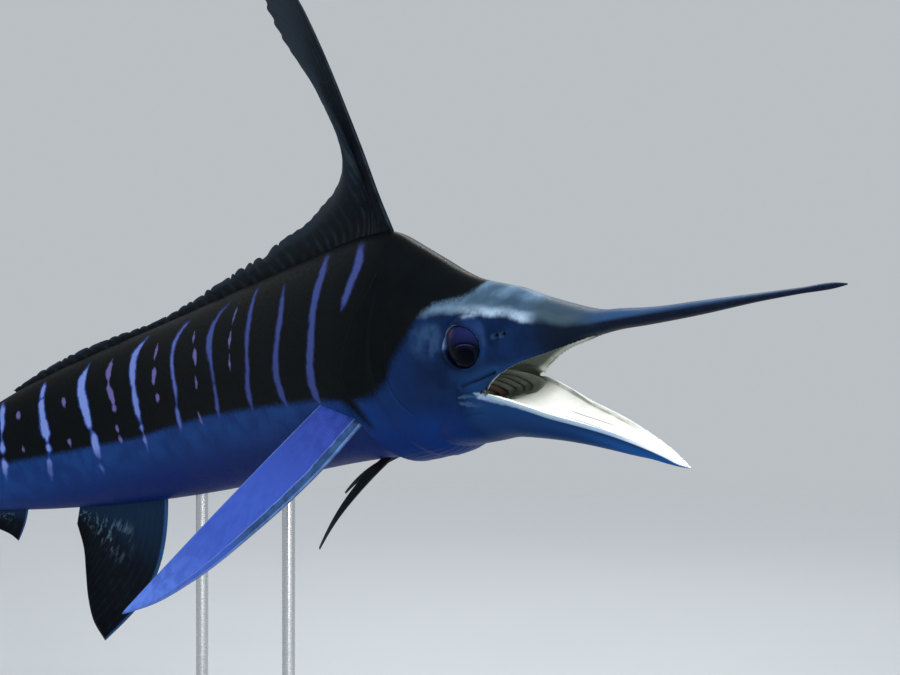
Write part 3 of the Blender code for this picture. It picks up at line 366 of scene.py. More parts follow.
def grid_mesh(name, points):
    """A closed tube of rings of points, as a mesh with outward faces."""
    rows, sides = points.shape[:2]
    index = np.arange(rows * sides).reshape(rows, sides)
    after = np.roll(index, -1, axis=1)
    quads = np.stack([index[:-1], after[:-1], after[1:], index[1:]], axis=-1).reshape(-1, 4)
    faces = [tuple(quad) for quad in quads.tolist()]
    faces += [tuple(index[0][::-1].tolist()), tuple(index[-1].tolist())]
    mesh = bpy.data.meshes.new(name)
    mesh.from_pydata(points.reshape(-1, 3).tolist(), [], faces)
    work = bmesh.new()
    work.from_mesh(mesh)
    if work.calc_volume(signed=True) < 0:
        bmesh.ops.reverse_faces(work, faces=work.faces)
    work.to_mesh(mesh)
    work.free()
    return mesh


def new_object(name, mesh):
    """Puts a mesh, lamp or lens into the scene."""
    made = bpy.data.objects.new(name, mesh)
    bpy.context.scene.collection.objects.link(made)
    return made


RING_SPACING = 0.004


def form(name, table, sides, end=None):
    """A closed solid along one of the tables, or along the part of it up to an end."""
    start, end = table[0][0], table[-1][0] if end is None else end
    stations = np.linspace(start, end, int(round((end - start) / RING_SPACING)) + 1)[:, None]
    angles = np.linspace(0, 2 * math.pi, sides, endpoint=False)[None, :]
    stations, angles = np.broadcast_arrays(stations, angles)
    side, height = section(table, stations, angles)
    return new_object(name, grid_mesh(name, place(stations, side, height)))


def settle(piece):
    """Applies a piece's modifiers to its mesh."""
    bpy.context.view_layer.update()
    mesh = bpy.data.meshes.new_from_object(piece.evaluated_get(bpy.context.evaluated_depsgraph_get()))
    piece.modifiers.clear()
    piece.data = mesh


def cut_or_join(piece, other, operation):
    """Joins another solid to a piece or cuts it away, and removes the other."""
    modifier = piece.modifiers.new("shape", "BOOLEAN")
    modifier.operation = operation
    modifier.solver = "MANIFOLD"
    modifier.object = other
    settle(piece)
    bpy.data.objects.remove(other, do_unlink=True)


# The head is carved from closed forms: upper and lower jaw joined, lips laid on as round cords
# along the edges of the mouth, and the mouth's hollows cut out.

LIP_RADIUS = 0.0030


def cord_mesh(name, path, radius, sides=14):
    """A round cord through points, with a radius at each."""
    path = np.asarray(path, float)
    way = np.gradient(path, axis=0)
    way /= np.linalg.norm(way, axis=1)[:, None]
    aside = np.cross(way, (0.13, 0.21, 1.0))
    aside /= np.linalg.norm(aside, axis=1)[:, None]
    above = np.cross(aside, way)
    turn = np.linspace(0, 2 * math.pi, sides, endpoint=False)
    radius = np.broadcast_to(np.asarray(radius, float), (len(path),))[:, None, None]
    cosine, sine = np.cos(turn)[None, :, None], np.sin(turn)[None, :, None]
    rings = path[:, None] + radius * (aside[:, None] * cosine + above[:, None] * sine)
    return grid_mesh(name, rings)


def mouth_rim(station):
    """Side and height where the roof of the mouth comes out through the underside of the upper jaw."""
    _, bottom, _, middle = sizes(BODY, station)
    top, _, hollow_half, hollow_middle = sizes(MOUTH_HOLLOW, station)
    low, high = bottom, middle
    for _ in range(30):
        height = (low + high) / 2
        share = np.clip((height - hollow_middle) / (top - hollow_middle), 0, 1)
        hollow_side = hollow_half * (1 - share**PLAIN_FULLNESS) ** (1 / PLAIN_FULLNESS)
        wider = hollow_side > flank_side(station, height)
        low = np.where(wider, height, low)
        high = np.where(wider, high, height)
    return flank_side(station, height), height


def jaw_hollow():
    """The space over the floor of the mouth, between the lips of the lower jaw."""
    rows = []
    for station in (-0.028, -0.012, 0.012, 0.041, 0.071, 0.109, 0.151, 0.184, 0.215, 0.245, 0.285):
        _, _, half, middle = (float(size) for size in sizes(JAW, station))
        depth = float(np.interp(station, *np.array(FLOOR_DEPTH).T))
        lip = float(np.interp(station, *np.array(LIP_WIDTH).T))
        rows.append((station, middle + 0.030, middle - depth, half - lip, middle + 0.001))
    return tuple(rows)


HEAD_CUT = 0.52
BILL_CUT = 0.036
UPPER_LIP = (0.052, 0.246)
LOWER_LIP = (-0.030, 0.252)
JAW_HOLLOW = jaw_hollow()
skin = form("marlin_skin", BODY, 128, HEAD_CUT + 0.02)
cut_or_join(skin, form("jaw", JAW, 96), "UNION")
for flank in (-1, 1):
    stations = np.linspace(*UPPER_LIP, 60)
    side, height = mouth_rim(stations)
    radius = LIP_RADIUS * np.interp(stations, (UPPER_LIP[0], 0.12, UPPER_LIP[1]), (0.4, 0.85, 1.0))
    path = place(stations, flank * side, height)
    cut_or_join(skin, new_object("lip", cord_mesh("lip", path, radius)), "UNION")
    stations = np.linspace(*LOWER_LIP, 90)
    _, _, half, middle = sizes(JAW, stations)
    radius = LIP_RADIUS * np.interp(stations, (LOWER_LIP[0], 0.05, 0.15), (0.35, 0.75, 1.0))
    path = place(stations, flank * (half - 0.0021), middle + 0.0014)
    cut_or_join(skin, new_object("lip", cord_mesh("lip", path, radius)), "UNION")
for table in (JAW_HOLLOW, MOUTH_HOLLOW):
    cut_or_join(skin, form("hollow", table, 80), "DIFFERENCE")

# The sockets of the eyes: half widths of the eyeball along the head, outwards and upwards
EYE_RADII = (0.0375, 0.0200, 0.0335)
EYE_TURN = math.radians(8)


def eye_ways(flank):
    """The ways ahead, out and up of an eye, in the fish's own axes: it follows the head's taper."""
    ahead = np.array((math.cos(EYE_TURN), -flank * math.sin(EYE_TURN), 0.0))
    out = np.array((math.sin(EYE_TURN), flank * math.cos(EYE_TURN), 0.0))
    return np.stack([ahead, out, (0.0, 0.0, 1.0)], axis=1)


def ball_mesh(name, flank, radii, turns):
    """An egg in the place of an eye."""
    work = bmesh.new()
    bmesh.ops.create_uvsphere(work, u_segments=turns, v_segments=turns // 2, radius=1.0)
    mesh = bpy.data.meshes.new(name)
    work.to_mesh(mesh)
    work.free()
    turn = np.eye(4)
    turn[:3, :3] = LEVEL @ eye_ways(flank) @ np.diag(radii)
    turn[:3, 3] = place(EYE_STATION, flank * EYE_SIDE, EYE_HEIGHT)
    mesh.transform(Matrix(turn.tolist()))
    return mesh


# The lids: the skin swells over the eyeball and is cut open along an egg-shaped line
LID_THICKNESS = 0.0026
OPENING_MIDDLE = (0.2635, 0.0035)
OPENING_RADII = (0.0345, 0.0275)


def opening_mesh(flank):
    """A plug the shape of the opening between the lids."""
    turn = np.linspace(0, 2 * math.pi, 72, endpoint=False)
    rings = []
    for side in (0.047, 0.060, 0.085):
        station = OPENING_MIDDLE[0] + OPENING_RADII[0] * np.cos(turn)
        height = OPENING_MIDDLE[1] + OPENING_RADII[1] * np.sin(turn)
        rings.append(place(station, np.full(len(turn), flank * side), height))
    return grid_mesh("opening", np.array(rings))


for flank in (-1, 1):
    lids = new_object("lids", ball_mesh("lids", flank, np.array(EYE_RADII) + LID_THICKNESS, 72))
    cut_or_join(skin, lids, "UNION")
    cut_or_join(skin, new_object("opening", opening_mesh(flank)), "DIFFERENCE")

# An even net of faces over the joined forms
VOXEL = 0.0015
remesh = skin.modifiers.new("even", "REMESH")
remesh.mode = "VOXEL"
remesh.voxel_size = VOXEL
settle(skin)


def mesh_points(mesh):
    """The points of a mesh, one row each."""
    points = np.empty(len(mesh.vertices) * 3)
    mesh.vertices.foreach_get("co", points)
    return points.reshape(-1, 3)


def set_points(mesh, points):
    """Moves the points of a mesh to new places."""
    mesh.vertices.foreach_set("co", np.asarray(points, np.float32).ravel())
    mesh.update()


def relax(mesh, rounds, weight=None, pull=0.55, push=-0.58):
    """Smooths a mesh without shrinking it: a round pulls the points in and pushes them back."""
    edges = np.empty(len(mesh.edges) * 2, int)
    mesh.edges.foreach_get("vertices", edges)
    a, b = edges.reshape(-1, 2).T
    count = len(mesh.vertices)
    touching = np.bincount(a, minlength=count) + np.bincount(b, minlength=count)
    touching = np.maximum(touching, 1)
    points = mesh_points(mesh)
    weight = np.ones(count) if weight is None else weight
    for _ in range(rounds):
        for factor in (pull, push):
            total = [np.bincount(a, x[b], count) + np.bincount(b, x[a], count) for x in points.T]
            mean = np.stack(total, axis=1) / touching[:, None]
            points = points + (mean - points) * (factor * weight)[:, None]
    set_points(mesh, points)


relax(skin.data, 6)

# The head is cut square at the neck and behind the bill, and the body and the bill, which are
# plain tapering tubes, are drawn on from its edges.

neck_point, neck_ahead, _, _ = spine_frames(HEAD_CUT)
bill_point, bill_ahead, _, _ = spine_frames(BILL_CUT)
work = bmesh.new()
work.from_mesh(skin.data)
UPPER_JAW_DEPTH = 0.035
for point, way, at_bill in ((neck_point, neck_ahead, False), (bill_point, bill_ahead, True)):
    spot = Vector(LEVEL @ point + REFERENCE_POINT)
    normal = Vector(LEVEL @ way)
    if at_bill:
        # Only the upper jaw is cut here: the lower jaw lies far below.
        chosen = [v for v in work.verts if (v.co - spot).dot(normal) > -0.02]
        chosen = [v for v in chosen if v.co.z > spot.z - UPPER_JAW_DEPTH]
    else:
        chosen = [v for v in work.verts if (v.co - spot).dot(normal) < 0.02]
    near = set(chosen)
    faces = [f for f in {f for v in chosen for f in v.link_faces} if all(v in near for v in f.verts)]
    edges = list({e for f in faces for e in f.edges})
    verts = list({v for f in faces for v in f.verts})
    bmesh.ops.bisect_plane(
        work, geom=verts + edges + faces, plane_co=spot, plane_no=normal,
        clear_inner=not at_bill, clear_outer=at_bill,
    )


def edge_loops(work):
    """The open edges of a mesh, split into loops."""
    loose = {e for e in work.edges if len(e.link_faces) == 1}
    loops = []
    while loose:
        loop = [loose.pop()]
        stack = list(loop[0].verts)
        while stack:
            vert = stack.pop()
            for edge in vert.link_edges:
                if edge in loose:
                    loose.discard(edge)
                    loop.append(edge)
                    stack += list(edge.verts)
        loops.append(loop)
    return loops


loops = sorted(edge_loops(work), key=len, reverse=True)


def tube_onto(work, loop, table, stations, sides):
    """Draws a tapering tube on from an open loop."""
    angles = np.linspace(0, 2 * math.pi, sides, endpoint=False)[None, :]
    grid, angles = np.broadcast_arrays(np.asarray(stations)[:, None], angles)
    side, height = section(table, grid, angles)
    rings = place(grid, side, height)
    verts = [[work.verts.new(point) for point in ring] for ring in rings.tolist()]
    for one, other in zip(verts, verts[1:]):
        for k in range(sides):
            after = (k + 1) % sides
            work.faces.new((one[k], one[after], other[after], other[k]))
    work.faces.new(verts[-1])
    first = [work.edges.get((verts[0][k], verts[0][(k + 1) % sides])) for k in range(sides)]
    bmesh.ops.bridge_loops(work, edges=list(loop) + first)


tube_onto(work, loops[0], BODY, np.linspace(HEAD_CUT + 0.003, BODY[-1][0], 494), 192)
bill_stations = np.concatenate([
    np.linspace(BILL_CUT - 0.002, 0.0205, 6),
    np.linspace(0.0175, -0.326, 116),
    np.linspace(-0.3275, BILL[0][0], 6),
])
# Body and bill in one table, for the tube that leads from the head to the tip of the bill
UPPER_JAW = BILL[:-1] + BODY[:3]
tube_onto(work, loops[1], UPPER_JAW, bill_stations, 48)
bmesh.ops.recalc_face_normals(work, faces=work.faces)
if work.calc_volume(signed=True) < 0:
    bmesh.ops.reverse_faces(work, faces=work.faces)
work.to_mesh(skin.data)
work.free()


# Small forms of the skin, each raised or sunk along its own way out: gill covers, brow, rims of
# the eye sockets, nostrils, the grooves of the cheek and jaws, keels by the tail.

# The gill cover: degrees down from the back, its front and rear edges, how far it stands proud
GILL_COVER = (
    (36, 0.420, 0.430, 0.0),
    (48, 0.410, 0.440, 0.0025),
    (62, 0.392, 0.468, 0.0040),
    (78, 0.378, 0.493, 0.0050),
    (94, 0.370, 0.506, 0.0055),
    (110, 0.364, 0.507, 0.0058),
    (126, 0.358, 0.499, 0.0060),
    (142, 0.350, 0.490, 0.0064),
    (160, 0.340, 0.483, 0.0070),
    (180, 0.330, 0.480, 0.0075),
)
CHEEK_FOLD = ((0.284, -0.0460), (0.275, -0.0440), (0.250, -0.0403), (0.236, -0.0375), (0.221, -0.0347))
COVER_GROOVE = (
    (0.405, 0.030), (0.410, 0.006), (0.414, -0.015), (0.411, -0.035), (0.404, -0.054), (0.388, -0.072),
)
CORNER_FOLDS = (
    ((0.262, -0.060), (0.276, -0.058), (0.292, -0.061)),
    ((0.262, -0.072), (0.280, -0.070), (0.305, -0.074)),
    ((0.258, -0.083), (0.285, -0.083), (0.318, -0.090)),
)
NOSTRILS = ((0.194, 0.0095), (0.207, 0.0095))
KEELS = (0.0135, -0.0135)
KEEL_START, KEEL_LENGTH = 1.835, 0.155


def bump(distance, width):
    """A soft ridge: 1 on its line and almost 0 past twice its width."""
    return np.exp(-((distance / width) ** 2))


def step(low, high, value):
    """A soft rise from 0 at the low value to 1 at the high one."""
    share = np.clip((value - low) / (high - low), 0, 1)
    return share * share * (3 - 2 * share)


def past_band(station, height, band):
    """How far points lie past the sides of a band with a half width at each of its own points."""
    least = np.full(len(station), 0.05)
    for (s0, z0, w0), (s1, z1, w1) in zip(band, band[1:]):
        length = (s1 - s0) ** 2 + (z1 - z0) ** 2
        share = np.clip(((station - s0) * (s1 - s0) + (height - z0) * (z1 - z0)) / length, 0, 1)
        gap = np.hypot(station - s0 - share * (s1 - s0), height - z0 - share * (z1 - z0))
        least = np.minimum(least, gap - w0 - share * (w1 - w0))
    return least


def from_line(station, height, line):
    """Distance of points on the flank from a line through a few of its own points."""
    return past_band(station, height, [(*knot, 0.0) for knot in line])


def clock(station, side, height):
    """The section angle of points, in degrees from the back over a flank to the belly."""
    half, middle, reach, power = shape_at(BODY, station, height)
    across = np.abs(side / half) ** (power / 2)
    upward = np.sign(height - middle) * np.abs((height - middle) / reach) ** (power / 2)
    return np.degrees(np.arctan2(across, upward))


def vertex_normals(mesh):
    """The ways out at the points of a mesh."""
    normals = np.empty(len(mesh.vertices) * 3, np.float32)
    mesh.vertex_normals.foreach_get("vector", normals)
    return normals.reshape(-1, 3).astype(float)


def from_opening(station, height):
    """How far points are from the middle of the lids' opening: 1 at its edge."""
    (middle_station, middle_height), (long, tall) = OPENING_MIDDLE, OPENING_RADII
    return np.hypot((station - middle_station) / long, (height - middle_height) / tall)


points = mesh_points(skin.data)
station, side, height = fish_places(points)
angle = clock(station, side, height)
in_body = depth_in(BODY, station, side, height)
in_jaw = depth_in(JAW, station, side, height)
eye_far = from_opening(station, height)
by_eye = (eye_far < 1.5) & (np.abs(side) > 0.03)
outer_skin = ((in_jaw < 0.003) & (in_body < 0.003) | (station > 0.40)) & ~((eye_far < 1.02) & by_eye)

table = np.array(GILL_COVER).T
front, rear, proud = (smooth(table[0], column, angle) for column in table[1:])
share = np.clip((station - front) / (rear - front), 0, 1)
swell = np.interp(share, (0, 0.1, 0.3, 0.48, 0.56, 0.75, 1.0), (0, 0.2, 0.5, 0.62, 0.46, 0.72, 1.0))
cover = proud * swell * step(rear + 0.0016, rear - 0.0006, station)
raised = np.where(station > 0.30, cover, 0.0)
# the brow over the eye, the rims of the lids, and the nostrils
raised += 0.0030 * bump(height - 0.043, 0.014) * step(0.17, 0.23, station) * step(0.40, 0.33, station)
raised += np.where(by_eye, 0.0009 * bump(eye_far - 1.09, 0.06) - 0.0003 * bump(eye_far - 1.32, 0.08), 0.0)
for nostril in NOSTRILS:
    raised -= 0.0045 * bump(np.hypot((station - nostril[0]) / 1.5, height - nostril[1]), 0.0030)
# the grooves of the cheek, the gill cover and the corner of the mouth
fold = from_line(station, height, CHEEK_FOLD)
raised -= 0.0020 * bump(fold, 0.0017)
raised += 0.0008 * bump(fold - 0.0055, 0.003)
raised -= 0.0009 * bump(from_line(station, height, COVER_GROOVE), 0.0022)
for line in CORNER_FOLDS:
    raised -= 0.0009 * bump(from_line(station, height, line), 0.0016)
# the fine rays of the gill membrane, low on the throat
rays = np.sin(np.radians(angle) * 60) * step(142, 156, angle)
rays = rays * step(0.33, 0.38, station) * step(0.475, 0.44, station)
raised += 0.00025 * rays
# two keels on each side of the tail's stem
keel_share = np.clip((station - KEEL_START) / KEEL_LENGTH, 0, 1)
keel_swell = np.sin(math.pi * keel_share) ** 0.7
for keel in KEELS:
    raised += 0.0085 * keel_swell * bump(height - keel * (1 + 0.3 * keel_share), 0.0034)
raised = np.where(outer_skin, raised, 0.0)
set_points(skin.data, points + vertex_normals(skin.data) * raised[:, None])
relax(skin.data, 2, weight=np.where(station < HEAD_CUT, 1.0, 0.0))
skin.data.polygons.foreach_set("use_smooth", [True] * len(skin.data.polygons))

# Markings are worked out for each point of the skin and kept as plain measures: how far it is
# from the nearest bar or dot, and how much of it is back, head or mouth.

# Bars down each flank: station, height, half width. A bar breaks where its half width is below 0.
BARS = (
    ((0.506, 0.165, 0.004), (0.491, 0.152, 0.007), (0.481, 0.134, 0.011), (0.486, 0.116, 0.010),
     (0.492, 0.100, 0.009), (0.498, 0.088, 0.007), (0.502, 0.081, 0.002)),
    ((0.606, 0.165, 0.002), (0.584, 0.152, 0.006), (0.575, 0.130, 0.011), (0.578, 0.105, 0.010),
     (0.580, 0.070, 0.009), (0.583, 0.044, 0.010), (0.592, 0.012, 0.010), (0.597, -0.010, 0.011),
     (0.596, -0.028, 0.009), (0.590, -0.042, 0.002)),
    ((0.690, 0.132, 0.001), (0.678, 0.112, 0.006), (0.674, 0.084, 0.009), (0.682, 0.054, 0.007),
     (0.689, 0.027, 0.009), (0.693, 0.003, 0.010), (0.690, -0.019, 0.009), (0.685, -0.038, 0.002)),
    ((0.792, 0.146, 0.001), (0.784, 0.133, 0.004), (0.778, 0.116, 0.006), (0.775, 0.092, 0.008),
     (0.776, 0.054, 0.006), (0.778, 0.026, 0.006), (0.788, 0.000, 0.008), (0.792, -0.021, 0.006),
     (0.794, -0.037, 0.001)),
    ((0.868, 0.130, 0.001), (0.886, 0.120, 0.004), (0.897, 0.106, 0.007), (0.902, 0.087, 0.010),
     (0.900, 0.072, 0.010), (0.892, 0.049, 0.005), (0.890, 0.023, 0.004), (0.893, -0.003, 0.005),
     (0.899, -0.019, 0.006), (0.902, -0.035, 0.001)),
    ((0.995, 0.123, 0.001), (1.011, 0.114, 0.005), (1.025, 0.095, 0.007), (1.026, 0.070, 0.006),
     (1.021, 0.043, 0.006), (1.019, 0.018, 0.006), (1.025, 0.003, 0.0005), (1.030, -0.011, 0.007),
     (1.034, -0.029, 0.007), (1.043, -0.046, 0.001)),
    ((1.135, 0.118, 0.002), (1.149, 0.108, 0.006), (1.160, 0.095, 0.011), (1.160, 0.074, 0.011),
     (1.158, 0.055, 0.009), (1.156, 0.047, 0.006), (1.156, 0.025, 0.010), (1.157, 0.007, 0.009),
     (1.157, -0.006, 0.004), (1.157, -0.012, -0.002), (1.158, -0.020, 0.006), (1.158, -0.031, 0.002),
     (1.161, -0.043, 0.007), (1.166, -0.060, 0.001)),
    ((1.316, 0.107, 0.001), (1.322, 0.095, 0.007), (1.328, 0.082, 0.013), (1.328, 0.066, 0.012),
     (1.323, 0.049, 0.014), (1.318, 0.033, 0.013), (1.316, 0.014, 0.011), (1.316, 0.006, 0.004),
     (1.315, -0.003, -0.001), (1.312, -0.015, 0.010), (1.316, -0.028, 0.012), (1.319, -0.042, 0.010),
     (1.322, -0.054, -0.001), (1.325, -0.066, 0.007), (1.327, -0.077, 0.001)),
    ((1.460, 0.102, 0.002), (1.457, 0.092, 0.008), (1.457, 0.083, 0.008), (1.458, 0.077, -0.002),
     (1.457, 0.069, 0.010), (1.456, 0.052, 0.010), (1.455, 0.042, 0.009), (1.455, 0.031, 0.014),
     (1.454, 0.019, 0.013), (1.455, 0.007, 0.006), (1.456, 0.001, -0.003), (1.458, -0.009, 0.008),
     (1.463, -0.018, -0.003), (1.470, -0.033, 0.008), (1.479, -0.050, 0.008), (1.486, -0.064, 0.001)),
    ((1.600, 0.100, 0.004), (1.588, 0.080, 0.009), (1.585, 0.059, 0.008), (1.592, 0.036, 0.001),
     (1.596, 0.016, 0.009), (1.600, 0.003, -0.001), (1.604, -0.012, 0.010), (1.611, -0.028, 0.007),
     (1.616, -0.042, 0.001)),
    ((1.735, 0.072, 0.002), (1.728, 0.052, 0.009), (1.726, 0.033, 0.008), (1.727, 0.021, -0.001),
     (1.728, 0.008, 0.008), (1.730, -0.008, 0.007), (1.731, -0.018, -0.001), (1.733, -0.030, 0.006)),
    ((1.854, 0.048, 0.002), (1.848, 0.034, 0.006), (1.846, 0.018, 0.005), (1.847, 0.009, -0.001),
     (1.848, -0.004, 0.005), (1.850, -0.022, 0.001)),
)
# Dots and short dashes between them
DOTS = (
    ((0.831, 0.126, 0.001), (0.830, 0.113, 0.0036), (0.830, 0.097, 0.001)),
    ((0.832, 0.086, 0.001), (0.833, 0.075, 0.0042), (0.832, 0.064, 0.001)),
    ((0.832, 0.053, 0.0005), (0.833, 0.042, 0.0034), (0.832, 0.029, 0.0005)),
    ((0.960, 0.104, 0.0005), (0.959, 0.095, 0.0035), (0.955, 0.083, 0.001)),
    ((0.949, 0.076, 0.002), (0.948, 0.069, 0.0075), (0.945, 0.061, 0.005), (0.944, 0.051, 0.0005)),
    ((0.947, 0.038, 0.0005), (0.946, 0.026, 0.0040), (0.949, 0.017, 0.0005)),
    ((0.963, -0.019, 0.001), (0.963, -0.030, 0.0045), (0.961, -0.038, 0.001)),
    ((1.086, 0.103, 0.001), (1.085, 0.094, 0.0048), (1.088, 0.084, 0.0034), (1.087, 0.078, 0.0005)),
    ((1.085, 0.066, 0.002), (1.087, 0.058, 0.0075), (1.089, 0.048, 0.0060), (1.090, 0.042, 0.001)),
    ((1.084, 0.026, 0.001), (1.083, 0.020, 0.0056), (1.085, 0.014, 0.001)),
    ((1.236, 0.103, 0.001), (1.238, 0.093, 0.0065), (1.241, 0.082, 0.0095), (1.239, 0.073, 0.002)),
    ((1.238, 0.066, 0.002), (1.238, 0.057, 0.0070), (1.233, 0.047, 0.0080), (1.228, 0.036, 0.0060)),
    ((1.228, 0.029, 0.001), (1.227, 0.022, 0.0066), (1.225, 0.016, 0.001)),
    ((1.231, -0.005, 0.001), (1.234, -0.012, 0.0055), (1.234, -0.018, 0.001)),
    ((1.234, -0.024, 0.0005), (1.235, -0.030, 0.0052), (1.236, -0.036, 0.0005)),
    ((1.385, 0.065, 0.002), (1.385, 0.059, 0.0075), (1.383, 0.053, 0.002)),
    ((1.387, -0.004, 0.001), (1.390, -0.010, 0.0060), (1.390, -0.016, 0.001)),
    ((1.532, 0.069, 0.002), (1.532, 0.063, 0.0068), (1.529, 0.057, 0.001)),
    ((1.534, 0.008, 0.001), (1.534, 0.002, 0.0045), (1.532, -0.002, 0.001)),
    ((1.664, 0.052, 0.001), (1.664, 0.046, 0.0055), (1.663, 0.040, 0.001)),
    ((1.792, 0.012, 0.001), (1.792, 0.007, 0.0045), (1.792, 0.002, 0.001)),
)
# Where the black of the back gives way to the blue of the flank
EDGE_OF_BACK = (
    (0.200, 0.130), (0.262, 0.066), (0.278, 0.060), (0.323, 0.060), (0.340, 0.050), (0.363, 0.026),
    (0.395, -0.002), (0.415, -0.028), (0.45, -0.043), (0.50, -0.046), (0.60, -0.036),
    (0.94, -0.028), (1.19, -0.036), (1.40, -0.026), (1.57, -0.014), (1.80, -0.008), (2.00, 0.0),
)
# How softly it does so: station, share of the full softness
EDGE_SOFTNESS = ((0.26, 0.55), (0.32, 0.45), (0.36, 1.0), (0.42, 1.0), (0.50, 0.6), (1.0, 0.45), (2.0, 0.6))
# The line of the painted highlight over the eye, and the black painted shade in the fold behind the gill
# cover, over the pectoral fin
BROW_HIGHLIGHT_LINE = (
    (0.03, 0.003), (0.10, 0.014), (0.160, 0.0245), (0.200, 0.0345), (0.232, 0.0415), (0.304, 0.0520),
    (0.34, 0.056),
)
FIN_FOLD_SHADE = ((0.520, -0.028, 0.022), (0.500, -0.047, 0.013), (0.491, -0.062, 0.008), (0.484, -0.078, 0.003))
# Pale streaks and the pale end of the lip by the corner of the mouth
CORNER_STREAKS = (
    ((0.300, -0.0655, 0.0005), (0.280, -0.0685, 0.0022), (0.257, -0.0716, 0.0016), (0.226, -0.0815, 0.0005)),
    ((0.296, -0.0590, 0.0005), (0.280, -0.0590, 0.0018), (0.268, -0.0600, 0.0010)),
)
CORNER_LIP = (
    (0.270, -0.0565, 0.0010), (0.258, -0.0600, 0.0036), (0.240, -0.0660, 0.0026), (0.222, -0.0725, 0.0014),
    (0.200, -0.0795, 0.0006), (0.165, -0.0910, 0.0001),
)

station, side, height = fish_places(mesh_points(skin.data))
eye_far = from_opening(station, height)
by_eye = (eye_far < 1.6) & (height > -0.036) & (np.abs(side) > 0.034)
bar_gap = np.min([past_band(station, height, band) for band in BARS], axis=0)
dot_gap = np.min([past_band(station, height, band) for band in DOTS], axis=0)
edge = np.interp(station, *np.array(EDGE_OF_BACK).T)
softness = np.interp(station, *np.array(EDGE_SOFTNESS).T)


def keep_measure(mesh, name, values):
    """Keeps a number for each point of a mesh, under a name that its finish reads."""
    attribute = mesh.attributes.new(name, "FLOAT", "POINT")
    attribute.data.foreach_set("value", np.asarray(values, np.float32))


# The lining of the mouth reaches a little way round the rims. It starts with the roof of the
# mouth, and on the lower jaw it keeps between the lips as far back as the hinge.
LINING_TURN = 0.0022
ROOF_START = 0.058
JAW_HINGE = 0.245
HEAD_END = 0.40
FAR = 0.01
outside = np.abs(np.maximum(depth_in(BODY, station, side, height), depth_in(JAW, station, side, height)))
hollow = depth_in(MOUTH_HOLLOW, station, side, height)
inside = np.abs(np.maximum(hollow, depth_in(JAW_HOLLOW, station, side, height)))
_, _, left_way, _ = spine_frames(station)
outward = np.sum(vertex_normals(skin.data) * (left_way @ LEVEL.T), axis=1) * np.sign(side)
mouth = outside - inside - LINING_TURN * np.clip(outward, -1, 1)
between = np.interp(station, (0.0, 0.10, 0.245, 0.27), (-0.06, -0.062, -0.0585, -0.0585))
on_jaw = height < between
_, _, jaw_half, jaw_middle = sizes(JAW, station)
over_lips = height - jaw_middle + 0.0002
mouth = np.where(on_jaw & (station < JAW_HINGE), np.maximum(mouth, over_lips), mouth)
mouth = np.where(on_jaw, mouth, np.minimum(mouth, station - ROOF_START - 0.9 * np.abs(side)))
mouth = np.where(by_eye | (station > HEAD_END), -FAR, mouth)
nostril_gap = [np.hypot((station - s + 0.6 * (height - z)) / 2.2, height - z) for s, z in NOSTRILS]
skin_measures = {
    "bar_gap": bar_gap,
    "dot_gap": dot_gap,
    "above_edge": (height - edge) / softness,
    "over_brow": height - np.interp(station, *np.array(BROW_HIGHLIGHT_LINE).T),
    "from_fold": from_line(station, height, CHEEK_FOLD),
    "from_fin_shade": past_band(station, height, FIN_FOLD_SHADE),
    "from_nostril": np.minimum(*nostril_gap),
    "from_streak": np.min([past_band(station, height, band) for band in CORNER_STREAKS], axis=0),
    "from_corner_lip": past_band(station, height, CORNER_LIP),
    "below_back": sizes(BODY, station)[0] - height,
    "mouth": np.clip(mouth, -FAR, FAR),
    "lower": on_jaw.astype(float),
    "from_groove": np.where(station < 0.2, np.abs(np.abs(side) - 0.0085), 0.05),
    "from_lip_edge": jaw_half - np.abs(side),
    "from_lid": (eye_far - 1.0) * 0.03 + np.where(np.abs(side) > 0.03, 0.0, 0.05),
    "from_rim": sizes(MOUTH_HOLLOW, station)[2] - np.abs(side),
}
for name, values in skin_measures.items():
    keep_measure(skin.data, name, values)
lie = skin.data.attributes.new("lie", "FLOAT_VECTOR", "POINT")
lie.data.foreach_set("vector", np.stack([station, side, height], axis=1).astype(np.float32).ravel())
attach(skin, "root")
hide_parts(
    "head", "bill", "lower_jaw", "gill_cover_left", "gill_cover_right",
    "shoulder", "mid_body", "rear_body", "tail_stem",
)

# The skin's finish is airbrushed fibreglass: dark pigments laid over each other in soft-edged
# coats, rubbed down under a thin clear coat. The eye sees a dull sheen with small, faint
# highlights that break up over the shallow marks of the scales.


def covered(tree, *limits):
    """How far a coat of paint covers: the product of its limits.

    A limit is a share worked out before, or a measure with the values where the coat starts and
    where it is full, eased between them, and its shares there where these aren't 0 and 1.
    """
    share = None
    for limit in limits:
        if not isinstance(limit, bpy.types.NodeSocket):
            value, start, full, *shares = limit
            low, high = shares or (0.0, 1.0)
            inputs = {"Value": value, "From Min": start, "From Max": full, "To Min": low, "To Max": high}
            limit = add(tree, "ShaderNodeMapRange", inputs, 0, interpolation_type="SMOOTHSTEP")
        if share is None:
            share = limit
        else:
            share = add(tree, "ShaderNodeMath", {0: share, 1: limit}, 0, operation="MULTIPLY")
    return share


def painted(tree, under, *coats):
    """Sprays coats over a colour, each one a colour followed by its limits."""
    under = linear(under) if isinstance(under, str) else under
    for tone, *limits in coats:
        tone = linear(tone) if isinstance(tone, str) else tone
        inputs = {0: covered(tree, *limits), 6: under, 7: tone}
        under = add(tree, "ShaderNodeMix", inputs, 2, data_type="RGBA")
    return under


def frayed(tree, value, noise, reach):
    """A measure that a noise shifts to and fro, so that the edges painted from it wander."""
    shift = add(
        tree, "ShaderNodeMath", {0: noise, 1: reach, 2: -reach / 2}, 0, operation="MULTIPLY_ADD",
    )
    return add(tree, "ShaderNodeMath", {0: value, 1: shift}, 0, operation="ADD")


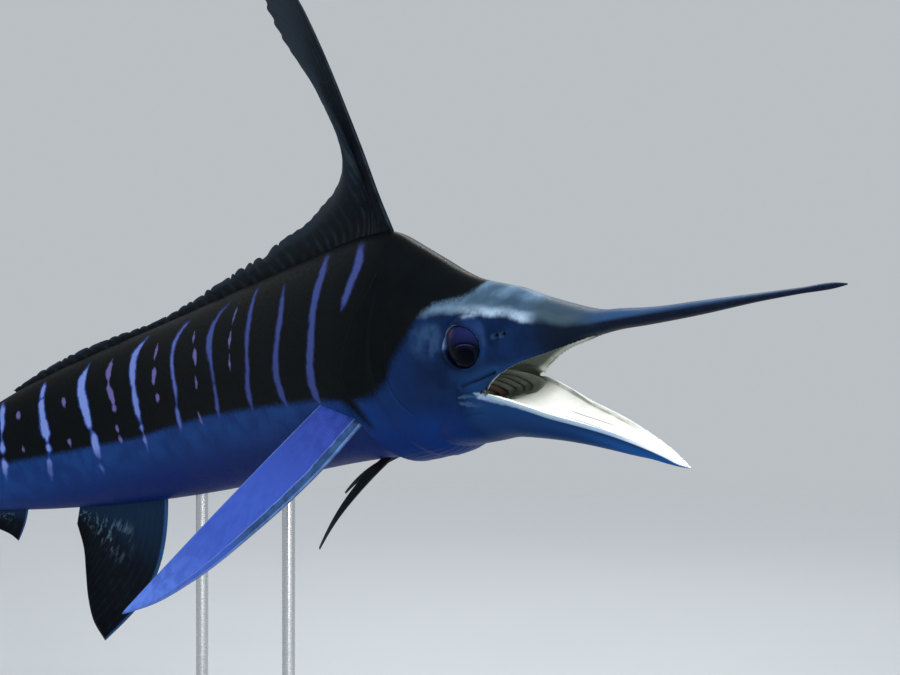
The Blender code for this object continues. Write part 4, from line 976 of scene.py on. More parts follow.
def widest_of(tree, share, *others):
    """Where several coats of one colour meet: the share of the one that covers most."""
    for other in others:
        share = add(tree, "ShaderNodeMath", {0: share, 1: other}, 0, operation="MAXIMUM")
    return share


def read_measures(tree, names):
    """The measures kept with a mesh's points, by name."""
    return {name: add(tree, "ShaderNodeAttribute", out="Fac", attribute_name=name) for name in names}


painted_skin, tree, shader = new_finish("airbrushed_glossy_fish_skin")
measured = read_measures(tree, skin_measures)
lie = add(tree, "ShaderNodeAttribute", out="Vector", attribute_name="lie")
station, _, height = add(tree, "ShaderNodeSeparateXYZ", {0: lie}).outputs
MOTTLE = 0.035
SPECKLE = 0.004
mottle = add(tree, "ShaderNodeTexNoise", {"Vector": lie, "Scale": 1 / MOTTLE, "Detail": 4.0}, 0)
speckle = add(tree, "ShaderNodeTexNoise", {"Vector": lie, "Scale": 1 / SPECKLE, "Detail": 2.0}, 0)

# Deep blue flanks under a black back, whose edge runs on into a black painted shade in the fold by the
# pectoral fin
flank = painted(
    tree, "#031e64",
    # the flank is darker low down towards the belly: painted shade of the underside
    ("#173c78", (height, -0.12, -0.050)),
    ("#0e2960", (mottle, 0.35, 0.7, 0.0, 0.7)),
    ("#0d2146", (station, 0.50, 0.38)),
)
back = painted(tree, "#030507", ("#080d10", mottle))
edge = frayed(tree, measured["above_edge"], speckle, 0.018)
fin_shade = frayed(tree, measured["from_fin_shade"], speckle, 0.006)
FOLD_RIM = 0.002
in_fin_shade = add(tree, "ShaderNodeMath", {0: FOLD_RIM, 1: fin_shade}, 0, operation="SUBTRACT")
edge = widest_of(tree, edge, in_fin_shade)

# The head: navy cheeks, a painted highlight over the eye, and a slate dome above it, painted paler as lit
# from above
cheek = painted(
    tree, "#081833",
    ("#0d2143", (mottle, 0.35, 0.65)),
    ("#17335a", (station, 0.30, 0.25), (station, 0.12, 0.20), (height, -0.018, -0.032, 0.0, 0.7)),
    ("#0b1422", (station, 0.18, 0.10)),
)
# the dome is painted paler as the lit top of the head, and its paler mottled patches are painted glints of
# light
dome = painted(
    tree, "#33495d",
    ("#546e87", (mottle, 0.30, 0.70)),
    ("#33444f", (station, 0.165, 0.125)),
    ("#1d2833", (station, 0.09, 0.03)),
)
brow = frayed(tree, measured["over_brow"], mottle, 0.016)
lid = measured["from_lid"]
nostril = measured["from_nostril"]
streak = frayed(tree, measured["from_streak"], speckle, 0.006)
lid_highlights = widest_of(
    tree,
    covered(tree, (station, 0.280, 0.288), (height, 0.002, 0.008), (height, 0.023, 0.017)),
    covered(tree, (height, 0.0180, 0.0225, 0.0, 0.7), (station, 0.255, 0.264)),
    covered(tree, (station, 0.257, 0.250, 0.0, 0.5), (height, 0.002, 0.008)),
)
head = painted(
    tree, cheek,
    (dome, (brow, -0.009, 0.002)),
    # dusk over the brow, the painted highlight itself, and a haze behind the eye
    ("#283848", (brow, 0.004, 0.009), (brow, 0.019, 0.012), (station, 0.26, 0.19, 0.0, 0.6)),
    (
        "#90a4b9", (brow, -0.008, -0.001), (brow, 0.008, 0.001), (station, 0.135, 0.165),
        (station, 0.315, 0.205, 0.05, 1.0), (mottle, 0.36, 0.56, 0.45, 1.0), (speckle, 0.2, 0.6, 0.65, 1.0),
    ),
    (
        "#2f4a6c", (station, 0.295, 0.315), (station, 0.37, 0.345), (height, -0.012, 0.010),
        (height, 0.044, 0.030), (mottle, 0.44, 0.62, 0.0, 0.6),
    ),
    # the lids: painted shade under the rear one, and painted highlights on their edges: a crescent at the
    # rear and lines along the top
    ("#040b1c", (lid, 0.0060, 0.0025), (station, 0.266, 0.280), (height, 0.004, -0.003, 0.0, 0.75)),
    ("#60759a", lid_highlights, (lid, 0.0020, 0.0005, 0.0, 0.6)),
    ("#3a5068", (nostril, 0.0050, 0.0028, 0.0, 0.16)),
    # the nostrils' pits darkened: painted shade
    ("#04060b", (nostril, 0.0028, 0.0008, 0.0, 0.9)),
    # a dark line along the groove of the cheek: painted shade in the groove
    ("#060c1a", (measured["from_fold"], 0.0022, 0.0006, 0.0, 0.75)),
    ("#51708f", (streak, 0.0022, -0.0010, 0.0, 0.40)),
)

# The lower jaw outside, brighter towards its tip, with a pale lip at its corner, and the bill, with a
# painted highlight along its top
jaw = painted(tree, "#1c569e", ("#12305c", (station, -0.03, 0.13)))
JAW_SLOPE = 0.42
over_jaw = add(
    tree, "ShaderNodeMath", {0: station, 1: -JAW_SLOPE, 2: height}, 0, operation="MULTIPLY_ADD",
)
corner = frayed(tree, measured["from_corner_lip"], speckle, 0.0024)
bill = painted(
    tree, "#0b1220",
    ("#101a2c", (speckle, 0.3, 0.7)),
    # a painted highlight along the top of the bill
    ("#2c4a70", (height, 0.0015, 0.0065, 0.0, 0.75)),
)

# Bars and dots: violet by the shoulder, bluer and brighter towards the tail
FRAY = 0.011
frays = add(tree, "ShaderNodeTexNoise", {"Vector": lie, "Scale": 1 / FRAY, "Detail": 3.0}, 0)
bar = frayed(tree, measured["bar_gap"], frays, 0.009)
dot = frayed(tree, measured["dot_gap"], frays, 0.009)
bar_rim = painted(tree, "#2c3878", ("#3c58b4", (station, 0.85, 1.30)))
bar_middle = painted(tree, "#404e8e", ("#748ace", (station, 0.85, 1.30)))
bar_tone = painted(tree, bar_rim, (bar_middle, (bar, 0.001, -0.005)))

# The lining of the mouth: white floor and lips, a cream edge to the roof, olive grey behind it. The floor
# carries painted light and shade: paler towards the back and duller at the tip, greyer deep towards the
# corner, and dark lines in its creases.
lip = measured["from_lip_edge"]
rim = measured["from_rim"]
mouth = measured["mouth"]
lip_tone = painted(tree, "#7d90ab", ("#74899a", (station, 0.04, 0.16)))
floor_tone = painted(
    tree, "#dcdfd8",
    # paler towards the back, duller at the tip: painted light that evens out the light falling into the
    # mouth
    ("#fafbf5", (station, 0.06, 0.20)),
    ("#dcdccf", (mottle, 0.45, 0.7, 0.0, 0.5)),
    # a dark line along a fold in the floor: painted shade
    (
        "#56534a", (measured["from_groove"], 0.0019, 0.0005, 0.0, 0.8), (mottle, 0.30, 0.50, 0.5, 1.0),
        (station, 0.075, 0.095), (station, 0.178, 0.150),
    ),
    # greyer deep towards the corner of the mouth: painted shade
    ("#858a7e", (station, 0.205, 0.250, 0.0, 0.8)),
    (lip_tone, (lip, 0.0030, 0.0012), (station, 0.0, 0.06, 0.5, 1.0)),
    # a dark line where lip and floor meet: painted shade in the crease
    (
        "#45443f", (lip, 0.0042, 0.0048), (lip, 0.0064, 0.0052), (station, 0.03, 0.09),
        (mottle, 0.35, 0.60, 0.15, 0.6),
    ),
    ("#4a4e46", (station, 0.275, 0.335)),
)
roof = painted(
    tree, "#767e78",
    ("#4b514b", (station, 0.130, 0.190)),
    ("#18222f", (station, 0.13, 0.07)),
    ("#c3c5b8", (rim, 0.0080, 0.0010), (station, 0.08, 0.14)),
    ("#44556a", (mouth, 0.0026, 0.0012, 0.0, 0.9), (rim, 0.010, 0.004)),
)
lining = painted(
    tree, roof,
    (floor_tone, measured["lower"]),
    ("#50564c", (height, -0.0715, -0.0665), (station, 0.240, 0.262)),
)
colour = painted(
    tree, head,
    (flank, (station, 0.31, 0.39)),
    ("#0a2a66", (height, -0.050, -0.095), (station, 0.26, 0.32), (station, 0.52, 0.44, 0.0, 0.8)),
    (back, (edge, -0.012, 0.014)),
    (jaw, (over_jaw, -0.1469, -0.1649), (station, 0.30, 0.24)),
    ("#859db6", (corner, 0.0016, -0.0022, 0.0, 0.80)),
    (bill, (station, 0.09, 0.02), (height, -0.04, -0.02)),
    (
        bar_tone, (bar, 0.0042, -0.0046), (measured["below_back"], 0.004, 0.022),
        (edge, -0.045, 0.004, 0.35, 1.0), (station, 0.6, 1.2, 0.72, 1.0),
    ),
    ("#625d98", (dot, 0.0022, -0.0028)),
    (lining, (mouth, -0.0006, 0.0006)),
)
tree.links.new(colour, shader.inputs["Base Color"])
shader.inputs["IOR"].default_value = 1.45
shader.inputs["Specular IOR Level"].default_value = 0.03
sheen = covered(tree, (speckle, 0.2, 0.8, 0.36, 0.50))
tree.links.new(sheen, shader.inputs["Roughness"])
SCALE_LENGTH = 0.022
SCALE_WIDTH = 0.0035
across_scales = (1 / SCALE_LENGTH, 1 / SCALE_WIDTH, 1 / SCALE_WIDTH)
narrow = add(tree, "ShaderNodeVectorMath", {0: lie, 1: across_scales}, 0, operation="MULTIPLY")
textured(tree, shader, narrow, 1.0, 2.0, 0.25, 0.0006)
skin.data.materials.clear()
skin.data.materials.append(painted_skin)

# Gill arches: five curved bars on each side of the throat, cast with the head and painted a dull
# olive grey, the nearest of them reddish. They stand between the roof and the floor of the mouth.

# Matt resin with fine pits: the eye sees a dull, uneven surface without highlights
arch_tone, tree, shader = new_finish("matt_painted_resin_gills")
where = add(tree, "ShaderNodeTexCoord", out="Object")
PIT_SIZE = 0.003
pits = textured(tree, shader, where, PIT_SIZE, 3.0, 0.4, 0.0008)
reddish = read_measures(tree, ("reddish",))["reddish"]
flesh = painted(tree, "#454b43", ("#646a5f", pits), ("#46372d", reddish))
tree.links.new(flesh, shader.inputs["Base Color"])
shader.inputs["Roughness"].default_value = 0.55
# Station of each arch's middle, from the nearest to the mouth's corner forwards
ARCHES = (0.3450, 0.3235, 0.3035, 0.2845, 0.2665)
ARCH_TOP, ARCH_FOOT = -0.043, -0.076
ARCH_LEAN = 1.64  # how far it leans back for each metre that it rises
ARCH_MIDDLE = -0.058
ARCH_HALF_LENGTH = 0.0105
ARCH_SINK = 0.0022
ARCH_SWELL = 0.0026
for flank, name in ((-1, "right"), (1, "left")):
    work = bmesh.new()
    for middle in ARCHES:
        rows = []
        for share in np.linspace(0, 1, 26):
            height = ARCH_TOP + (ARCH_FOOT - ARCH_TOP) * share
            centre = middle + ARCH_LEAN * (height - ARCH_MIDDLE)
            swell = math.sin(math.pi * min(0.97, 0.12 + share * 0.80)) ** 0.6
            row = []
            for turn in np.linspace(0, 2 * math.pi, 22, endpoint=False):
                along_head = centre + ARCH_HALF_LENGTH * swell * math.cos(turn)
                half, widest, reach, _ = shape_at(MOUTH_HOLLOW, along_head, height)
                level = min(0.97, abs(height - widest) / reach)
                wall = half * (1 - level**PLAIN_FULLNESS) ** (1 / PLAIN_FULLNESS)
                out = wall - ARCH_SINK + ARCH_SWELL * swell * math.sin(turn)
                row.append(place(along_head, flank * (out - ARCH_SWELL * math.cos(turn)), height))
            rows.append(row)
        work.from_mesh(grid_mesh("arch", np.array(rows)))
    mesh = bpy.data.meshes.new("gill_arches_" + name)
    work.to_mesh(mesh)
    work.free()
    mesh.polygons.foreach_set("use_smooth", [True] * len(mesh.polygons))
    reddish = np.zeros(len(mesh.vertices))
    reddish[: len(reddish) // len(ARCHES)] = 1.0
    keep_measure(mesh, "reddish", reddish)
    mesh.materials.append(arch_tone)
    arches = new_object("gill_arches_" + name, mesh)
    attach(arches, "root")

# Eyes: blown glass set into the sockets and painted from behind, a dark pupil that looks down
# and ahead within a thin purple ring, and blue-grey above it.

# Where the pupil's middle looks: ahead, out and up; and its half widths along the head and upwards
GAZE = (0.27, 0.88, -0.36)
PUPIL_REACH = (0.66, 0.47)
BEHIND = 3.0  # the distance from the pupil kept for the back of the ball, far past its ring
# Glass over paint: the eye sees a deep, dark ball with one small, sharp highlight
glass_eye, tree, shader = new_finish("painted_glass_eye")
from_pupil, upward, forward = read_measures(tree, ("from_pupil", "upward", "forward")).values()
ball = painted(
    tree, "#080d20",
    ("#171d45", (upward, -0.1, 0.75)),
    # a pinkish patch at the upper rear: painted light, the lit edge of the lid seen on the ball
    ("#3d3444", (upward, 0.30, 0.55), (forward, -0.05, -0.35, 0.0, 0.8)),
    ("#02060d", (from_pupil, 1.35, 1.10)),
    ("#2a2450", (from_pupil, 1.10, 1.03), (upward, -0.15, 0.15), (forward, -0.20, 0.25, 0.15, 1.0)),
    ("#070a14", (from_pupil, 1.00, 0.94)),
    ("#01030a", (from_pupil, 0.80, 0.70)),
)
tree.links.new(ball, shader.inputs["Base Color"])
shader.inputs["Roughness"].default_value = 0.14
shader.inputs["IOR"].default_value = 1.5
shader.inputs["Specular IOR Level"].default_value = 0.02
for flank, name in ((-1, "right"), (1, "left")):
    centre = place(EYE_STATION, flank * EYE_SIDE, EYE_HEIGHT)
    mesh = ball_mesh("glass_eye_" + name, flank, np.array(EYE_RADII), 128)
    mesh.polygons.foreach_set("use_smooth", [True] * len(mesh.polygons))
    outward = (mesh_points(mesh) - centre) @ LEVEL / np.array(EYE_RADII)
    outward /= np.linalg.norm(outward, axis=1)[:, None]
    gaze = np.array((GAZE[0], flank * GAZE[1], GAZE[2]))
    gaze /= np.linalg.norm(gaze)
    beside = np.cross(gaze, (0.0, 0.0, 1.0))
    beside /= np.linalg.norm(beside)
    over = np.cross(beside, gaze)
    spread = np.hypot(outward @ beside / math.sin(PUPIL_REACH[0]), outward @ over / math.sin(PUPIL_REACH[1]))
    keep_measure(mesh, "from_pupil", np.where(outward @ gaze > 0, spread, BEHIND))
    keep_measure(mesh, "upward", outward[:, 2])
    keep_measure(mesh, "forward", outward[:, 0])
    mesh.materials.append(glass_eye)
    eye = new_object("glass_eye_" + name, mesh)
    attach(eye, "root")
    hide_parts("eye_" + name)

# Fins: cast from thin resin and set into the body, with the rays standing up on both
# faces and the skin between them drawn tight. Lobe and low crest of the back are one fin.

FIN_SINK = 0.008
PARTING = 0.0003


def fin(name, surface, rays, size, thickness, skin_thickness, lead=1.0, notch=0.0):
    """A closed fin. Its middle is surface(u, v): u from first ray to last, v from root to edge."""
    across = np.linspace(0, 1, size[0])
    reach = np.linspace(0, 1, size[1])
    u, v = np.meshgrid(across, reach, indexing="ij")
    ray = 0.5 + 0.5 * np.cos(2 * math.pi * u * (rays - 1))
    edge = 1 - notch * (1 - ray)
    middle = surface(u, v * edge)
    inward = middle[:, 0] - middle[:, 1]
    inward *= FIN_SINK / np.linalg.norm(inward, axis=1)[:, None]
    middle = np.concatenate([(middle[:, 0] + inward)[:, None], middle], axis=1)
    v = np.concatenate([np.zeros((size[0], 1)), v], axis=1)
    ray = np.concatenate([ray[:, :1], ray], axis=1)
    u = np.concatenate([u[:, :1], u], axis=1)
    normal = np.cross(np.gradient(middle, axis=0), np.gradient(middle, axis=1))
    normal /= np.maximum(np.linalg.norm(normal, axis=2), 1e-12)[..., None]
    split_rays = 0.5 + 0.5 * np.cos(4 * math.pi * u * (rays - 1))
    ridge = ray**1.5 * (1 - 0.5 * v) + 0.45 * split_rays**2 * v
    at_root, at_edge = thickness
    skin_root, skin_edge = skin_thickness
    thick = skin_root + (skin_edge - skin_root) * v
    thick = thick + (at_root + (at_edge - at_root) * v - thick) * np.clip(ridge, 0, 1)
    thick *= 1 + (lead - 1) * bump(u, 0.02)
    rounded = np.sqrt(np.clip(1 - ((v - 0.985) / 0.0155).clip(0, 1) ** 2, 0.02, 1))
    thick *= rounded
    front = middle + normal * thick[..., None] / 2
    rear = middle - normal * thick[..., None] / 2
    wide, long = u.shape
    count = wide * long
    index = np.arange(count).reshape(wide, long)
    corners = [index[:-1, :-1], index[1:, :-1], index[1:, 1:], index[:-1, 1:]]
    quads = np.stack(corners, axis=-1).reshape(-1, 4)
    rim = np.concatenate([index[:, 0], index[-1, 1:], index[-2::-1, -1], index[0, -2:0:-1]])
    after = np.roll(rim, -1)
    sides = np.stack([after, rim, rim + count, after + count], axis=-1)
    faces = np.concatenate([quads, quads[:, ::-1] + count, sides]).tolist()
    mesh = bpy.data.meshes.new(name)
    mesh.from_pydata(np.concatenate([front.reshape(-1, 3), rear.reshape(-1, 3)]).tolist(), [], faces)
    mesh.validate()
    work = bmesh.new()
    work.from_mesh(mesh)
    if work.calc_volume(signed=True) < 0:
        bmesh.ops.reverse_faces(work, faces=work.faces)
    work.to_mesh(mesh)
    work.free()
    for measured, values in (("across", u), ("reach", v), ("ridge", ridge)):
        keep_measure(mesh, measured, np.tile(values.ravel(), 2))
    mesh.polygons.foreach_set("use_smooth", [True] * len(mesh.polygons))
    return new_object(name, mesh)


def along(points, share):
    """Points along a smooth line through some of its own points."""
    points = np.array(points, float)
    knots = np.concatenate([[0.0], np.cumsum(np.linalg.norm(np.diff(points, axis=0), axis=1))])
    return [smooth(knots / knots[-1], column, share) for column in points.T]


DORSAL_START = 0.447
LOBE_END = 0.662
DORSAL_END = 1.575
# How the roots of the lobe's rays are spread: share of the rays, share of the root
ROOT_SPREAD = ((0.0, 0.0), (0.3, 0.12), (0.6, 0.28), (0.8, 0.60), (1.0, 1.0))
# Leading edge and rear outline of the lobe, from the root up and back down: station, height
LEADING_EDGE = (
    (0.447, 0.166), (0.462, 0.217), (0.475, 0.278), (0.491, 0.340), (0.506, 0.395),
    (0.523, 0.448), (0.546, 0.504), (0.583, 0.556), (0.645, 0.592),
)
LOBE_OUTLINE = (
    (0.645, 0.592), (0.640, 0.548), (0.629, 0.506), (0.610, 0.464), (0.588, 0.430),
    (0.563, 0.395), (0.540, 0.362), (0.527, 0.330), (0.524, 0.296), (0.538, 0.265),
    (0.570, 0.242), (0.614, 0.227), (0.658, 0.213), (0.695, 0.2050),
)
# The low crest: station, height over the back
CREST_HEIGHT = (
    (0.66, 0.0470), (0.72, 0.0435), (0.80, 0.0350), (0.90, 0.0275), (1.00, 0.0190), (1.08, 0.0135),
    (1.16, 0.0105), (1.24, 0.0150), (1.34, 0.0180), (1.42, 0.0165), (1.50, 0.0130), (1.575, 0.0070),
)
CREST_LEAN = 0.034
FLUTTER = 0.010
LOBE_SHARE = 0.40
LEAVES = 26


def lobe(u, v):
    """The tall lobe: its rays follow the leading edge less and less towards the rear."""
    root_station = DORSAL_START + (LOBE_END - DORSAL_START) * smooth(*np.array(ROOT_SPREAD).T, u)
    root_height = sizes(BODY, root_station)[0] - 0.001
    lead_station, lead_height = along(LEADING_EDGE, v)
    (start_station, start_height), (end_station, end_height) = LEADING_EDGE[0], LEADING_EDGE[-1]
    bend_station = lead_station - start_station - (end_station - start_station) * v
    bend_height = lead_height - start_height - (end_height - start_height) * v
    tip_station, tip_height = along(LOBE_OUTLINE, u)
    station = root_station + (tip_station - root_station) * v + bend_station * (1 - u) ** 2
    height = root_height + (tip_height - root_height) * v + bend_height * (1 - u) ** 2
    side = FLUTTER * np.sin(math.pi * u) ** 2 * np.sin(2 * math.pi * v)
    return place(station, side, height)


def crest(u, v):
    """The low crest behind the lobe, whose rays lean back."""
    root = LOBE_END + (DORSAL_END - LOBE_END) * u
    tall = np.interp(root, *np.array(CREST_HEIGHT).T)
    lean = CREST_LEAN * np.minimum(1.0, tall / 0.03) * v
    leaf = (u * LEAVES + 0.35 * np.sin(u * 31.0) + 0.2 * np.sin(u * 77.0)) % 1.0
    ragged = 1 - 0.26 * step(0.0, 0.12, u) * (1 - np.sin(math.pi * leaf**0.7) ** 0.5) * v
    droop = 0.16 * tall * np.sin(u * LEAVES * 2.1) * v * v * step(0.1, 0.3, u)
    up = (tall * v - lean * 0.065) * ragged
    return place(root + lean, droop, sizes(BODY, root)[0] - 0.001 + up)


def first_dorsal(u, v):
    """Lobe and crest as one: the lobe takes the first share of the rays."""
    on_lobe = lobe(np.clip(u / LOBE_SHARE, 0, 1), v)
    on_crest = crest(np.clip((u - LOBE_SHARE) / (1 - LOBE_SHARE), 0, 1), v)
    return np.where((u < LOBE_SHARE)[..., None], on_lobe, on_crest)


def edge_fin(base, outline, bow, sign):
    """A fin on the back or belly, from a stretch of its outline to the fin's own edge."""

    def surface(u, v):
        root = base[0] + (base[1] - base[0]) * u
        top, bottom, _, _ = sizes(BODY, root)
        root_height = top - 0.001 if sign > 0 else bottom + 0.001
        tip_station, tip_height = along(outline, u)
        lift = bow * 4 * v * (1 - v) * (1 - 0.45 * v * v) * (1 - u) ** 2
        station = root + (tip_station - root) * v - lift * 0.6
        height = root_height + (tip_height - root_height) * v + sign * lift * 0.8
        return place(station, 0.0 * station, height)

    return surface


def blade(root_front, root_rear, tip, chord, lean, sweep):
    """A narrow blade: its rear edge runs from root to tip, and its chord lies ahead of that."""
    root_chord = (root_front - root_rear) / np.linalg.norm(root_front - root_rear)

    def surface(u, v):
        width = smooth(*np.array(chord).T, v)[..., None]
        share = v[..., None]
        way = root_chord * (1 - share) + lean * share
        way /= np.linalg.norm(way, axis=-1)[..., None]
        rear = root_rear + (tip - root_rear) * share + lean * sweep * 4 * share * (1 - share)
        return rear + way * width * (1 - u[..., None])

    return surface


def fin_finish(name, root_colour, middle_colour, edge_colour, ray_colour, ray_share):
    """The finish of a fin, from its root to its edge; returns what is needed to paint more over it."""
    finish, tree, shader = new_finish(name)
    measured = read_measures(tree, ("across", "reach", "ridge"))
    reach = measured["reach"]
    where = add(tree, "ShaderNodeTexCoord", out="Object")
    cloud = add(tree, "ShaderNodeTexNoise", {"Vector": where, "Scale": 1 / CLOUD, "Detail": 5.0}, 0)
    colour = painted(
        tree, root_colour,
        (middle_colour, (reach, 0.0, 0.5)),
        (edge_colour, (reach, 0.55, 1.0)),
        (ray_colour, measured["ridge"], (cloud, 0.3, 0.7, 0.0, ray_share)),
    )
    shader.inputs["Roughness"].default_value = 0.42
    shader.inputs["IOR"].default_value = 1.45
    shader.inputs["Specular IOR Level"].default_value = 0.03
    textured(tree, shader, where, FIN_GRAIN, 2.0, 0.15, 0.0003)
    tree.links.new(colour, shader.inputs["Base Color"])
    return finish, tree, shader, colour, measured["across"], reach, cloud


# Airbrushed resin, satin: a wide soft sheen, in which the rays stand out a little paler
CLOUD = 0.018
FIN_GRAIN = 0.002
dark_fin = fin_finish("airbrushed_blue_black_fin", "#040608", "#0e141a", "#27313b", "#1f2a35", 0.6)[0]

# The blade of the pectoral fin: the same satin in lavender blue, with a slate strip along its
# leading edge and a fine pale line beside that
blue_fin, tree, shader, colour, across, reach, cloud = fin_finish(
    "airbrushed_lavender_blue_fin", "#243379", "#3650a6", "#5677cc", "#475fb2", 0.35,
)
strip = frayed(tree, across, cloud, 0.05)
strip_tone = painted(tree, "#22395f", ("#2f4a70", (cloud, 0.35, 0.65)))
fine_line = widest_of(
    tree,
    covered(tree, (strip, 0.150, 0.160), (strip, 0.190, 0.170)),
    covered(tree, (across, 0.022, 0.008)),
    covered(tree, (across, 0.970, 0.990)),
)
colour = painted(
    tree, colour,
    ("#2b3f92", (cloud, 0.35, 0.65, 0.0, 0.45)),
    (strip_tone, (strip, 0.165, 0.150), (reach, 0.62, 0.50, 0.25, 1.0)),
    ("#6a84bc", fine_line, (cloud, 0.3, 0.6, 0.2, 0.4)),
)
tree.links.new(colour, shader.inputs["Base Color"])

# The anal fin: deep blue at its root, with pale streaks along the rays, and black below
anal_tone, tree, shader, colour, across, reach, _ = fin_finish(
    "airbrushed_dark_blue_fin", "#142c48", "#080d16", "#020308", "#152838", 0.4,
)
STREAKS_ACROSS, STREAKS_DOWN = 26.0, 7.0
on_fin = add(tree, "ShaderNodeCombineXYZ", {0: across, 1: reach}, 0)
stretch = (STREAKS_ACROSS, STREAKS_DOWN, 1.0)
along_ray = add(tree, "ShaderNodeVectorMath", {0: on_fin, 1: stretch}, 0, operation="MULTIPLY")
streaks = add(tree, "ShaderNodeTexNoise", {"Vector": along_ray, "Scale": 1.0, "Detail": 3.0}, 0)
colour = painted(
    tree, colour,
    (
        "#56758a", (streaks, 0.50, 0.68), (reach, 0.12, 0.25), (reach, 0.60, 0.40),
        (across, 0.20, 0.50, 0.0, 0.75),
    ),
    ("#2c5c94", (across, 0.022, 0.006, 0.0, 0.6)),
)
tree.links.new(colour, shader.inputs["Base Color"])


def put_on(piece, finish, slot, *nodes):
    """Gives a fin its finish, in place of the named nodes of the fixed frame. The slot is not used."""
    piece.data.materials.append(finish)
    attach(piece, "root")
    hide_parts(*nodes)


# The first dorsal fin, then the small second one far back: each is set into a slot of the back
# and sanded flush at its root.

piece = fin("first_dorsal_fin", first_dorsal, 51, (901, 44), (0.0040, 0.0010), (0.0028, 0.0007), 1.5, 0.02)
put_on(piece, dark_fin, "fin", "dorsal_fin_peak", "dorsal_fin_slope", "dorsal_fin_middle", "dorsal_fin_rear")
SMALL_FIN = (7, (85, 30), (0.0034, 0.0010), (0.0014, 0.0007), 1.3)
SECOND_DORSAL_OUTLINE = ((1.715, 0.1470), (1.728, 0.1340), (1.748, 0.1210), (1.775, 0.1090), (1.832, 0.0960))
surface = edge_fin((1.665, 1.745), SECOND_DORSAL_OUTLINE, 0.004, 1)
put_on(fin("second_dorsal_fin_skin", surface, *SMALL_FIN), dark_fin, "fin", "second_dorsal_fin")

# The anal fin, tall and pointed, and the small one behind it, set into the belly in the same way.
# Both take the blue of the belly at their roots.

ANAL_OUTLINE = (
    (1.545, -0.366), (1.560, -0.328), (1.556, -0.286), (1.541, -0.240), (1.526, -0.195), (1.524, -0.152),
)
surface = edge_fin((1.262, 1.500), ANAL_OUTLINE, 0.048, -1)
piece = fin("anal_fin_skin", surface, 18, (205, 50), (0.0044, 0.0010), (0.0032, 0.0007), 1.7)
put_on(piece, anal_tone, "fin", "anal_fin")
SECOND_ANAL_OUTLINE = (
    (1.697, -0.1520), (1.710, -0.1390), (1.730, -0.1260), (1.757, -0.1130), (1.812, -0.0990),
)
surface = edge_fin((1.645, 1.725), SECOND_ANAL_OUTLINE, 0.004, -1)
put_on(fin("second_anal_fin_skin", surface, *SMALL_FIN), anal_tone, "fin", "second_anal_fin")

# The tail: two stiff, narrow lobes with strong front edges, cast as a pair and parted at the fork
# by a hair's breadth.

TAIL_EDGE = ((2.270, 0.350), (2.215, 0.268), (2.155, 0.180), (2.103, 0.098), (2.068, 0.036), (2.056, 0.0008))
TAIL_ROOT = ((1.925, 0.0400), (1.960, 0.0330), (1.985, 0.0190), (1.994, 0.0008))
TAIL_BOW = 0.026


def tail_lobe(sign):
    """The upper or lower lobe, from the end of the tail's stem to the edge of the fork."""

    def surface(u, v):
        root_station, root_height = along(TAIL_ROOT, u)
        tip_station, tip_height = along(TAIL_EDGE, u)
        lift = TAIL_BOW * 4 * v * (1 - v) * (1 - u) ** 1.5
        station = root_station + (tip_station - root_station) * v - lift * 0.55
        height = root_height + (tip_height - root_height) * v + lift * 0.5
        return place(station, 0.0 * station, sign * np.maximum(height, PARTING))

    return surface


for sign, name in ((1, "upper"), (-1, "lower")):
    piece = fin("tail_lobe_" + name, tail_lobe(sign), 21, (241, 60), (0.0085, 0.0011), (0.0030, 0.0008), 1.4)
    put_on(piece, dark_fin, "fin", "tail_fin_" + name)

# The pectoral fins: long blades set into sockets low on the shoulder. The right one is spread
# and the left one held closer to the body.

PECTORAL_ROOT = ((0.513, -0.071), (0.594, -0.043))
# From the middle of the root to the tip: ahead, out and up, for the right and the left fin
PECTORAL_REACH = {-1: (-0.252, 0.276, -0.205), 1: (-0.350, 0.195, -0.095)}
# Share of the way to the tip, and the fin's width there
PECTORAL_CHORD = ((0.0, 0.092), (0.25, 0.102), (0.5, 0.094), (0.75, 0.071), (0.9, 0.040), (1.0, 0.003))
PECTORAL_CHORD_LEAN = (0.92, 0.05, -0.38)


def fish_ways(station):
    """The ways ahead, left and up in the room at a station."""
    return [LEVEL @ way for way in spine_frames(station)[1:]]


for flank, name in ((-1, "right"), (1, "left")):
    (front, front_height), (rear, rear_height) = PECTORAL_ROOT
    root_front = place(front, flank * (flank_side(front, front_height) - 0.001), front_height)
    root_rear = place(rear, flank * (flank_side(rear, rear_height) - 0.001), rear_height)
    ahead, left, up = fish_ways((front + rear) / 2)
    fore, out, rise = PECTORAL_REACH[flank]
    tip = (root_front + root_rear) / 2 + ahead * fore + left * out * flank + up * rise
    lean_ahead, lean_out, lean_up = PECTORAL_CHORD_LEAN
    lean = ahead * lean_ahead + left * lean_out * flank + up * lean_up
    surface = blade(root_front, root_rear, tip, PECTORAL_CHORD, lean / np.linalg.norm(lean), -0.004)
    piece = fin("pectoral_blade_" + name, surface, 18, (253, 70), (0.0046, 0.0010), (0.0042, 0.0008), 1.4)
    put_on(piece, blue_fin, "pectoral_fin", "pectoral_fin_" + name)

# The pelvic fins: two thin streamers of a few rays, which trail under the belly between the
# pectoral fins.

PELVIC_ROOT = 0.560
PELVIC_SIDE = 0.022
PELVIC_HEIGHT = -0.1335
